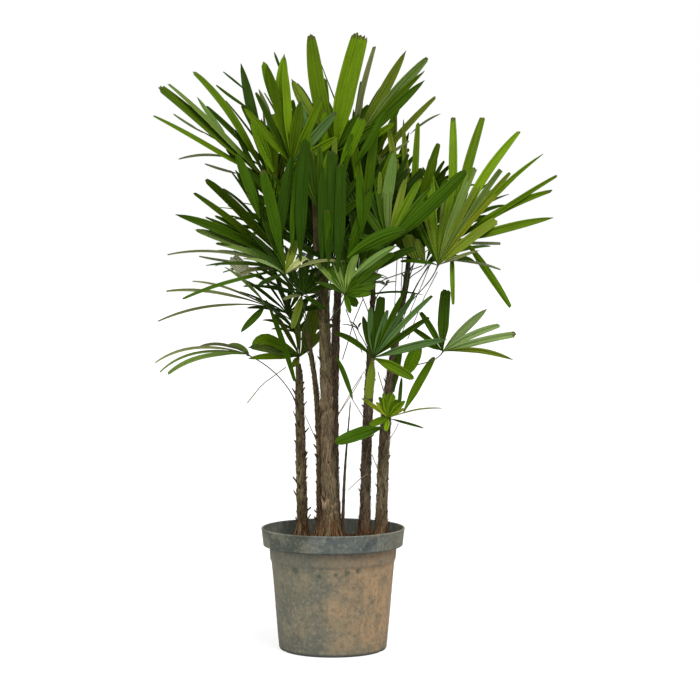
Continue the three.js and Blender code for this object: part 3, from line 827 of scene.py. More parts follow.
drills = Skin()
for k in range(DRAINS):
    turn = 2.0 * math.pi * k / DRAINS
    x, y = DRAIN_CIRCLE * math.cos(turn), DRAIN_CIRCLE * math.sin(turn)
    round_tube(drills, np.array([[x, y, -5 * MM], [x, y, 10 * MM]]), [DRAIN_RADIUS] * 2, 24)

pot = pot_skin.piece("pot_shell", [pot_plastic, pot_inside], sharp=50.0)
cut(pot, drills.piece("drills"))
seat(pot, "pot", "pot")

# %% [markdown]
# ## Soil
#
# The root ball fills the pot to two fingers under the rim: dark crumbly soil with bits of bark and
# matted roots that show between the canes. It is turned like the pot, from a section that follows the
# pot's, and its top is raised into lumps by noise. Bark chips are joined into one piece on it.

# %% Soil material
soil_crumbs, g, shader, solid, _ = finish("soil_crumbs", 0.95, 0.15)
crumbs = grain(g, solid, 160.0)
colour = g.mix(g.spread(crumbs, 0.3, 0.7), paint("1d140d"), paint("57412b"))
colour = g.over(colour, blotches(g, solid, 28.0, 0.5, 0.1), paint("231810"), 0.6)
connect(g, shader, colour=colour, normal=relief(g, crumbs, 0.9, 3.0 * MM))

# %% Bark chip material
bark_chip, g, shader, solid, along = finish("bark_chip", 0.85, 0.2)
veins = g.group(VEINS, {"Place": along, "Lines": 4.0, "Length": 40.0})
fleck = grain(g, solid, 300.0)
colour = g.mix(g.spread(fleck, 0.3, 0.7), paint("3a2616"), paint("7c5c3a"))
colour = g.over(colour, veins["Streak"], paint("2c1c10"))
connect(g, shader, colour=colour, normal=relief(g, fleck, 0.6, 0.8 * MM))
print("soil and bark chips")

# %% Turn the root ball
SOIL_GAP = 0.4 * MM
SOIL_RISE = 3.0 * MM  # how far it stands over its plain solid
SOIL_FALL = 4.0 * MM  # and how far it falls from there to the wall
SOIL_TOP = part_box("root_ball")[1].z
SOIL_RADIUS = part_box("root_ball")[1].x


def soil_height(x, y):
    """Height of the soil's surface: lumps, crumbs, and a fall towards the wall."""
    place = Vector((x, y, 0.0))
    reach = ease(math.hypot(x, y) / SOIL_RADIUS)
    lumps = 3.0 * MM * noise.noise(place * 30.0) + 2.0 * MM * noise.noise(place * 90.0)
    return SOIL_TOP + SOIL_RISE + lerp(1.0, 0.4, reach) * lumps - SOIL_FALL * reach


clear = WALL + 2 * SOIL_GAP  # how far the soil stays inside the outside of the pot's wall
soil_side = np.array([
    (MM, WALL + SOIL_GAP),
    *straight((MM, WALL), (FOOT - 4.2 * MM, WALL + SOIL_GAP), 5),
    (FOOT - clear - MM, WALL + SOIL_GAP),
    *straight((FOOT - clear, WALL), (BODY_TOP - clear, SHOULDER_FOOT), 12),
    (BODY_TOP - clear, SHOULDER_FOOT),
    (SHOULDER - clear, BAND_FOOT + WALL),
])
soil_top = np.array([(r, 0.0) for r in np.linspace(SOIL_RADIUS - 0.6 * MM, MM, 60)])
soil_rings = turned(np.concatenate([soil_side, soil_top]))
for ring in soil_rings[len(soil_side) :]:
    ring[:, 2] = [soil_height(x, y) for x, y, _ in ring]
soil_skin = Skin()
soil_skin.tube(soil_rings, around, np.linspace(0.0, 1.0, len(soil_rings)))
seat(soil_skin.piece("soil_ball", [soil_crumbs], sharp=60.0), "soil", "root_ball")

# %% Bark chips
CHIPS = 420


def chip(skin, centre, size, rng):
    """A splinter of bark: a short flattened tube with a ragged section."""
    forward = unit(np.array([rng.uniform(-1, 1), rng.uniform(-1, 1), rng.uniform(-0.35, 0.35)]))
    side = square_to(UP + 0.001, forward)
    across = np.cross(forward, side)
    turns = np.linspace(0.0, 2.0 * math.pi, 6, endpoint=False)
    rings = []
    for share, swell in ((-0.5, 0.45), (-0.25, 1.0), (0.2, 0.9), (0.5, 0.35)):
        widths = column([size * 0.34 * swell * rng.uniform(0.7, 1.2) for _ in turns])
        middle = centre + forward * size * share
        flat = across * column(np.cos(turns)) + side * column(0.45 * np.sin(turns))
        rings.append(middle + widths * flat)
    skin.tube(np.array(rings)[:, ::-1], np.linspace(0, 1, 7), np.linspace(0.0, size, 4))


rng = random.Random("bark chips")
chips = Skin()
for _ in range(CHIPS):
    reach, turn = SOIL_RADIUS * 0.95 * math.sqrt(rng.random()), rng.uniform(0.0, 2.0 * math.pi)
    x, y = reach * math.cos(turn), reach * math.sin(turn)
    size = rng.uniform(4.0, 15.0) * MM
    chip(chips, np.array([x, y, soil_height(x, y) + 0.1 * size]), size, rng)
seat(chips.piece("bark_chips", [bark_chip], sharp=35.0), "soil", "root_ball")

# %% [markdown]
# ## Reading the canes off the frame
#
# Fibre, stubs and stalks all have to sit on the canes. Slicing each plain cane at a row of heights
# gives its centre and radius there, and a smooth curve through the centres gives its axis anywhere.
# That way the canes are measured from the frame, not copied.


# %% Measure the canes
def section(node, height):
    """Centre and radius of a plain solid where a level plane cuts it."""
    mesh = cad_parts[node].data
    places = np.array([v.co for v in mesh.vertices])
    ends = np.array([e.vertices for e in mesh.edges])
    first, second = places[ends[:, 0]], places[ends[:, 1]]
    cut = (first[:, 2] - height) * (second[:, 2] - height) < 0.0
    first, second = first[cut], second[cut]
    share = (height - first[:, 2]) / (second[:, 2] - first[:, 2])
    points = lerp(first, second, column(share))
    centre = (points.min(axis=0) + points.max(axis=0)) / 2.0
    return centre, np.linalg.norm(points - centre, axis=1).max()


# %% How each cane differs from its plain solid
CANE_CHANGES = {  # how far it leans off at the foot and at the tip, and its girth at three heights
    "main": ((3 * MM, 2 * MM), (0.95, 0.85, 0.8)),
    "rear": ((-8 * MM, -6 * MM), (0.8, 0.7, 0.7)),
    "slim": ((3 * MM, 0.0), (1.0, 0.9, 0.75)),
    "right": ((-4 * MM, 2 * MM), (1.0, 0.95, 0.55)),
    "far_right": ((-8 * MM, 10 * MM), (1.0, 0.95, 0.5)),
}
NO_CHANGE = ((0.0, 0.0), (1.0, 1.0, 1.0))
LEAN_HEIGHTS = (0.26, 0.6, 0.7, 0.9)  # the foot's lean as far as the second, the tip's from the fourth
GIRTH_HEIGHTS = (0.3, 0.62, 0.85)  # below, in the middle of and above the bare part of the canes


class Cane:
    """The axis and radius of a cane, smoothed from slices of its plain solid."""

    def __init__(self, node, slices=40, clear=18 * MM, order=4):
        low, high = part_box(node)
        self.foot, self.tip = low.z, high.z
        self.heights = np.linspace(low.z + MM, high.z - clear, slices)
        sections = [section(node, height) for height in self.heights]
        centres = np.array([centre for centre, _ in sections])
        (foot_lean, tip_lean), girths = CANE_CHANGES.get(node.removeprefix("stem_"), NO_CHANGE)
        leans = (foot_lean, foot_lean, 0.0, tip_lean)
        centres[:, 0] += np.interp(self.heights, LEAN_HEIGHTS, leans)
        self.bend_x = np.polyfit(self.heights, centres[:, 0], order)
        self.bend_y = np.polyfit(self.heights, centres[:, 1], order)
        self.radii = np.array([radius for _, radius in sections])
        self.radii *= np.interp(self.heights, GIRTH_HEIGHTS, girths)

    def centre(self, z):
        z = np.asarray(z, float)
        return np.stack([np.polyval(self.bend_x, z), np.polyval(self.bend_y, z), z], axis=-1)

    def radius(self, z):
        return np.interp(z, self.heights, self.radii)

    def surface(self, z, turn, out=0.0):
        """A point at a height and a turn about the axis, this far out of the surface."""
        z, turn = np.broadcast_arrays(np.asarray(z, float), np.asarray(turn, float))
        outward = np.stack([np.cos(turn), np.sin(turn), np.zeros_like(turn)], axis=-1)
        return self.centre(z) + outward * np.asarray(self.radius(z) + out)[..., None]


stems = sorted(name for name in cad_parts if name.startswith("stem_"))
CANES = {name.removeprefix("stem_"): Cane(name) for name in stems}
for name, cane in CANES.items():
    print(f"cane {name}: {cane.foot:.3f} to {cane.tip:.3f} m, foot radius {cane.radii[0] / MM:.1f} mm")

# %% [markdown]
# ## Canes
#
# A lady palm's cane hides inside layer on layer of old leaf sheaths, each a sleeve of crossing brown
# fibres with a torn upper edge, and the stubs of old stalks stand out of them. One mesh per cane
# carries the sleeves as real relief: its radius grows towards each torn edge and drops behind it.
# Loose fibres and stubs are joined into a second piece for each cane, so that its outline is shaggy.

# %% Cane materials
RUSTY_FOOT = (0.36, 0.27)  # the canes turn rusty between these heights, towards the soil
GREENING = 0.3  # over this height a cane turns from brown to green
BARE_PATCH = (-0.024, -0.045, 0.363)  # where the main cane's fibre has come away
BARE_SIZE = (0.013, 0.03, 0.024)


def cane_finish(name, colour, dark, light, green_from):
    """Woven sheath fibre in one cane's own brown, greener towards its young top."""
    material, g, shader, solid, along = finish(name, 0.85, 0.2)
    strands = g.group(STRANDS, {"Place": along, "Slope": 0.22, "Count": 240.0})
    bleached = blotches(g, g.stretched(solid, (1.0, 1.0, 0.3)), 42.0, 0.45, 0.07)
    mossy = blotches(g, solid, 19.0, 0.4, 0.1)
    fuzz = grain(g, g.stretched(solid, (1.0, 1.0, 0.35)), 700.0)
    z = g.parts(solid)["Z"]
    off_patch = g.plus(g.apart(solid, BARE_PATCH, BARE_SIZE), g.spread(fuzz, 0.3, 0.7, -0.3, 0.3))
    base = g.over(colour, bleached, light, 0.8)
    base = g.over(base, mossy, paint("5a5b3c"), 0.5)
    base = g.over(base, g.spread(z, green_from, green_from + GREENING), paint("62702c"), 0.75)
    base = g.over(base, g.spread(z, *RUSTY_FOOT), paint("7c5436"), 0.5)
    base = g.over(base, g.spread(off_patch, 1.1, 0.8), paint("b09678"))
    base = g.over(base, strands["Gap"], dark, 0.85)
    base = g.over(base, g.spread(fuzz, 0.42, 0.68), dark, 0.6)
    height = g.plus(strands["Height"], g.times(fuzz, 0.4))
    rough = g.spread(fuzz, 0.3, 0.7, 0.72, 0.95)
    connect(g, shader, colour=base, roughness=rough, normal=relief(g, height, 0.9, 1.6 * MM))
    return material


CANE_BROWNS = {
    "left": ("75674a", "30271b", "a5946f", 0.6),
    "slim": ("70593d", "2b2016", "9c8462", 0.52),
    "main": ("7c6c51", "2e251b", "ac9673", 0.62),
    "rear": ("615040", "241b13", "876f54", 0.8),
    "right": ("736450", "2e251b", "a49076", 0.62),
    "far_right": ("796a50", "2d241a", "a59676", 0.74),
}
cane_fibres = {
    name: cane_finish(f"cane_{name}", paint(colour), paint(dark), paint(light), green_from)
    for name, (colour, dark, light, green_from) in CANE_BROWNS.items()
}
print(len(cane_fibres), "cane browns")


# %% Sleeves of old sheath
def torn_edges(cane, rng, spacing, turns):
    """Heights of the sleeves' upper edges, one row for each sleeve and one column for each turn."""
    edges = []
    z = cane.foot - 30 * MM
    side = rng.uniform(0.0, 2.0 * math.pi)
    while z < cane.tip + 60 * MM:
        rise = rng.uniform(0.18, 0.42) * spacing
        row = [
            z + rise * math.cos(t - side)
            + 0.14 * spacing * noise.noise(Vector((3.0 * math.cos(t), 3.0 * math.sin(t), z * 90.0)))
            + 0.07 * spacing * noise.noise(Vector((9.0 * math.cos(t), 9.0 * math.sin(t), z * 90.0)))
            for t in turns
        ]
        edges.append(row)
        side += math.radians(137.0 + rng.uniform(-20.0, 20.0))
        z += spacing * rng.uniform(0.85, 1.2)
    return np.array(edges)


def sleeve_rings(cane, rng, spacing, lip, sides=52, step=3 * MM):
    """Rings of a cane wrapped in sleeves, and their heights."""
    turns = np.linspace(0.0, 2.0 * math.pi, sides, endpoint=False) + math.pi / 2.0
    heights = np.arange(cane.foot - 8 * MM, cane.tip, step)
    edges = torn_edges(cane, rng, spacing, turns)
    z = heights[:, None]
    out = np.zeros((len(heights), sides))
    for lower, upper in zip(edges[:-1], edges[1:]):
        share = (z - lower) / np.maximum(upper - lower, MM)
        swell = lip * rng.uniform(0.55, 1.25) * (share**1.6) - 0.25 * lip
        out = np.where((share >= 0.0) & (share < 1.0), swell, out)
    fibre = np.empty_like(out)
    for i, height in enumerate(heights):
        for j, t in enumerate(turns):
            x, y = math.cos(t), math.sin(t)
            ridges = noise.noise(Vector((x * 6.5, y * 6.5, height * 22.0)))
            lumps = noise.noise(Vector((x * 1.6, y * 1.6, height * 34.0)))
            fibre[i, j] = 0.75 * MM * ridges + 0.07 * cane.radii[0] * lumps
    flare = 0.12 * cane.radii[0] * np.exp(-(z - cane.foot) / (14 * MM))
    closing = np.clip((cane.tip - z) / (26 * MM), 0.0, 1.0) ** 0.5
    radius = (cane.radius(z) + out + fibre + flare) * lerp(0.35, 1.0, closing)
    outward = np.stack([np.cos(turns), np.sin(turns), np.zeros(sides)], axis=-1)
    return cane.centre(heights)[:, None, :] + outward * radius[..., None], heights


# %% Wrap the canes
SLEEVES = {  # spacing of the sleeves and how far their torn edges stand out
    "left": (24 * MM, 2.6 * MM),
    "slim": (24 * MM, 1.6 * MM),
    "main": (44 * MM, 2.6 * MM),
    "rear": (38 * MM, 2.2 * MM),
    "right": (34 * MM, 1.9 * MM),
    "far_right": (36 * MM, 2.2 * MM),
}

for name, (spacing, lip) in SLEEVES.items():
    cane = CANES[name]
    rings, heights = sleeve_rings(cane, random.Random(f"sleeves {name}"), spacing, lip)
    girth = 2.0 * math.pi * cane.radii[0]
    skin = Skin()
    skin.tube(rings, np.linspace(0.0, girth, rings.shape[1] + 1), heights)
    seat(skin.piece(f"cane_{name}", [cane_fibres[name]], sharp=55.0), "stem", f"stem_{name}")

# %% [markdown]
# ### Loose fibres, stubs and root skirts
#
# Fibres peel off every sleeve, old stalks leave blunt stubs that point up and out, and at the foot a
# skirt of orange-brown root threads spreads over the soil. Each is a thin closed tube with its ends
# drawn in, and all those of one cane are one piece.


# %% Loose fibre materials
def thread_finish(name, colour, dull):
    material, g, shader, solid, _ = finish(name, 0.8, 0.25)
    base = g.over(colour, blotches(g, solid, 90.0, 0.5, 0.15), dull)
    connect(g, shader, colour=base, normal=relief(g, grain(g, solid, 900.0), 0.4, 0.4 * MM))
    return material


fibre_dark = thread_finish("fibre_dark", paint("4a3a29"), paint("2c2117"))
fibre_tan = thread_finish("fibre_tan", paint("a08a63"), paint("6c573c"))
fibre_rust = thread_finish("fibre_rust", paint("8c6440"), paint("5a3f26"))
stub_brown = thread_finish("stub_brown", paint("5c4a34"), paint("2f2418"))

# %% Threads and stubs
DARK, TAN, STUB, RUST = range(4)  # the material slots of a cane's loose fibres
LEVEL = 10 * MM  # a thread that rises less than this lies level
LEVEL_SEAM = (0.31, 0.2, 0.93)
STEEP_SEAM = (1.0, 0.2, 0.0)


def thread(skin, path, thickness, slot, sides=4):
    """A thin fibre along a path, thinner at both ends."""
    share = np.linspace(0.0, 1.0, len(path))
    radii = thickness / 2.0 * (0.35 + 0.65 * np.sin(math.pi * np.clip(share * 0.9 + 0.08, 0.0, 1.0)))
    seam = LEVEL_SEAM if abs(path[-1, 2] - path[0, 2]) < LEVEL else STEEP_SEAM
    round_tube(skin, path, radii, sides, seam, slot)


def loose_fibres(skin, cane, rng, count, spacing):
    """Fibres that cross the cane at a slant and lift off it at their upper end."""
    for _ in range(count):
        z = rng.uniform(cane.foot, cane.tip - 50 * MM)
        length = rng.uniform(0.5, 1.3) * spacing
        slant = rng.choice((-1.0, 1.0)) * rng.uniform(0.1, 0.75)
        start = rng.uniform(0.0, 2.0 * math.pi)
        lift = rng.choice((0.4, 0.9, 1.8, 5.0)) * MM
        t = np.linspace(0.0, 1.0, 6)
        turns = start + slant * t * length / cane.radius(z)
        path = cane.surface(z + t * length, turns, 0.5 * MM + lift * t**2.2)
        thread(skin, path, rng.uniform(0.35, 0.9) * MM, rng.choice((DARK, DARK, TAN)))


def stubs(skin, cane, rng, spacing, reach, below):
    """What is left of old stalks, turning about the cane from one to the next as leaves do."""
    turn = rng.uniform(0.0, 2.0 * math.pi)
    z = cane.foot + 15 * MM
    while z < below:
        length = reach * rng.uniform(0.5, 1.25)
        rise = math.radians(rng.uniform(25.0, 65.0))
        outward = np.array([math.cos(turn), math.sin(turn), 0.0])
        heading = unit(outward * math.cos(rise) + UP * math.sin(rise))
        start = cane.surface(z, turn, -2.0 * MM)
        t = np.linspace(0.0, 1.0, 5)[:, None]
        path = start + heading * length * t + UP * length * 0.25 * t**2
        base = rng.uniform(2.0, 3.2) * MM
        round_tube(skin, path, base * np.array([1.25, 1.0, 0.8, 0.7, 0.5]), 6, np.cross(outward, UP), STUB)
        turn += math.radians(137.5 + rng.uniform(-25.0, 25.0))
        z += spacing * rng.uniform(0.5, 1.1)


SKIRT_REACH = 15 * MM


def root_skirt(skin, cane, rng, count, reach=SKIRT_REACH):
    """Root threads that leave the foot of a cane and run out over the soil."""
    for _ in range(count):
        turn = rng.uniform(0.0, 2.0 * math.pi)
        out = rng.uniform(0.2, 1.0) * reach
        height = cane.foot + 4 * MM + rng.uniform(0.0, 2.3) * reach
        t = np.linspace(0.0, 1.0, 6)
        z = lerp(height, cane.foot - 4 * MM, t)
        turns = turn + rng.uniform(-0.35, 0.35) * t
        path = cane.surface(np.maximum(z, cane.foot), turns, 0.8 * MM + out * t**2)
        path[:, 2] = z
        thread(skin, path, rng.uniform(0.8, 2.2) * MM, rng.choice((RUST, RUST, TAN, DARK)))


# %% Dress the canes
FIBRES_PER_METRE = 900
ROOTS_PER_METRE = 8000  # for each metre of the foot's radius
STUBS = {  # spacing, length and highest place of the stubs
    "left": (9 * MM, 13 * MM, 0.66),
    "slim": (10 * MM, 12 * MM, 0.56),
    "main": (30 * MM, 10 * MM, 0.95),
    "rear": (30 * MM, 9 * MM, 0.95),
    "right": (22 * MM, 10 * MM, 0.9),
    "far_right": (20 * MM, 11 * MM, 0.9),
}
WIDE_SKIRTS = {"left": 19 * MM, "main": 27 * MM, "slim": 20 * MM}

for name, (spacing, length, below) in STUBS.items():
    rng = random.Random(f"dress {name}")
    skin = Skin()
    cane = CANES[name]
    loose_fibres(skin, cane, rng, round(FIBRES_PER_METRE * (cane.tip - cane.foot)), SLEEVES[name][0])
    stubs(skin, cane, rng, spacing, length, below)
    reach = WIDE_SKIRTS.get(name, SKIRT_REACH)
    roots = round(ROOTS_PER_METRE * cane.radii[0] * reach / SKIRT_REACH)
    root_skirt(skin, cane, rng, roots, reach)
    dressing = skin.piece(f"fibres_{name}", [fibre_dark, fibre_tan, stub_brown, fibre_rust])
    seat(dressing, "stem", f"stem_{name}")

# %% The young shoot
SHOOT_JOINTS = 12

shoot = Cane("young_shoot", slices=24, clear=3 * MM)
heights = np.linspace(shoot.foot - 5 * MM, shoot.tip, 60)
t = (heights - shoot.foot) / (shoot.tip - shoot.foot)
joints = 0.5 * MM * np.abs(np.sin(SHOOT_JOINTS * math.pi * t)) ** 8
radii = shoot.radius(heights) * lerp(0.95, 0.55, t**2) + joints
skin = Skin()
round_tube(skin, shoot.centre(heights), radii, 10)
root_skirt(skin, shoot, random.Random("shoot roots"), 24)
seat(skin.piece("shoot", [stub_brown, fibre_tan, stub_brown, fibre_rust]), "stem", "young_shoot")

# %% [markdown]
# ## Fronds
#
# A lady palm's leaf is a fan: up to a dozen or so narrow leaflets spring from one hub at the end of a
# thin stalk. Each leaflet is folded like a paper fan, with a rib at every fold, narrow at the hub, widest
# past its middle and cut off bluntly at the tip, with a few small teeth. The outermost leaflets are the
# shortest. A flat picture of a leaf would do for a hedge far away, but here each leaflet is a real
# thin blade with its folds, so that light breaks over it from any side.
#
# Each fan is a row: how high its stalk leaves the cane, where its hub is, the heading, lift and roll of
# its middle line, its leaflets' width, droop and tone, and the leaflets. A leaflet is an angle and a
# length, and may add a width of its own and words for its looks. All are in millimetres and degrees.
# Each fan stands where its plain solid does, and only a few leaflets on the far side are shorter.


# %% The fans
def even(count, length, spread):
    """A regular fan, which shortens towards its sides."""
    shares = [2.0 * i / (count - 1) - 1.0 for i in range(count)]
    vary = [1.0 + 0.06 * math.sin(1.7 * i + length) for i in range(count)]
    return [(s * spread, length * (1.0 - 0.24 * s * s) * v) for s, v in zip(shares, vary)]


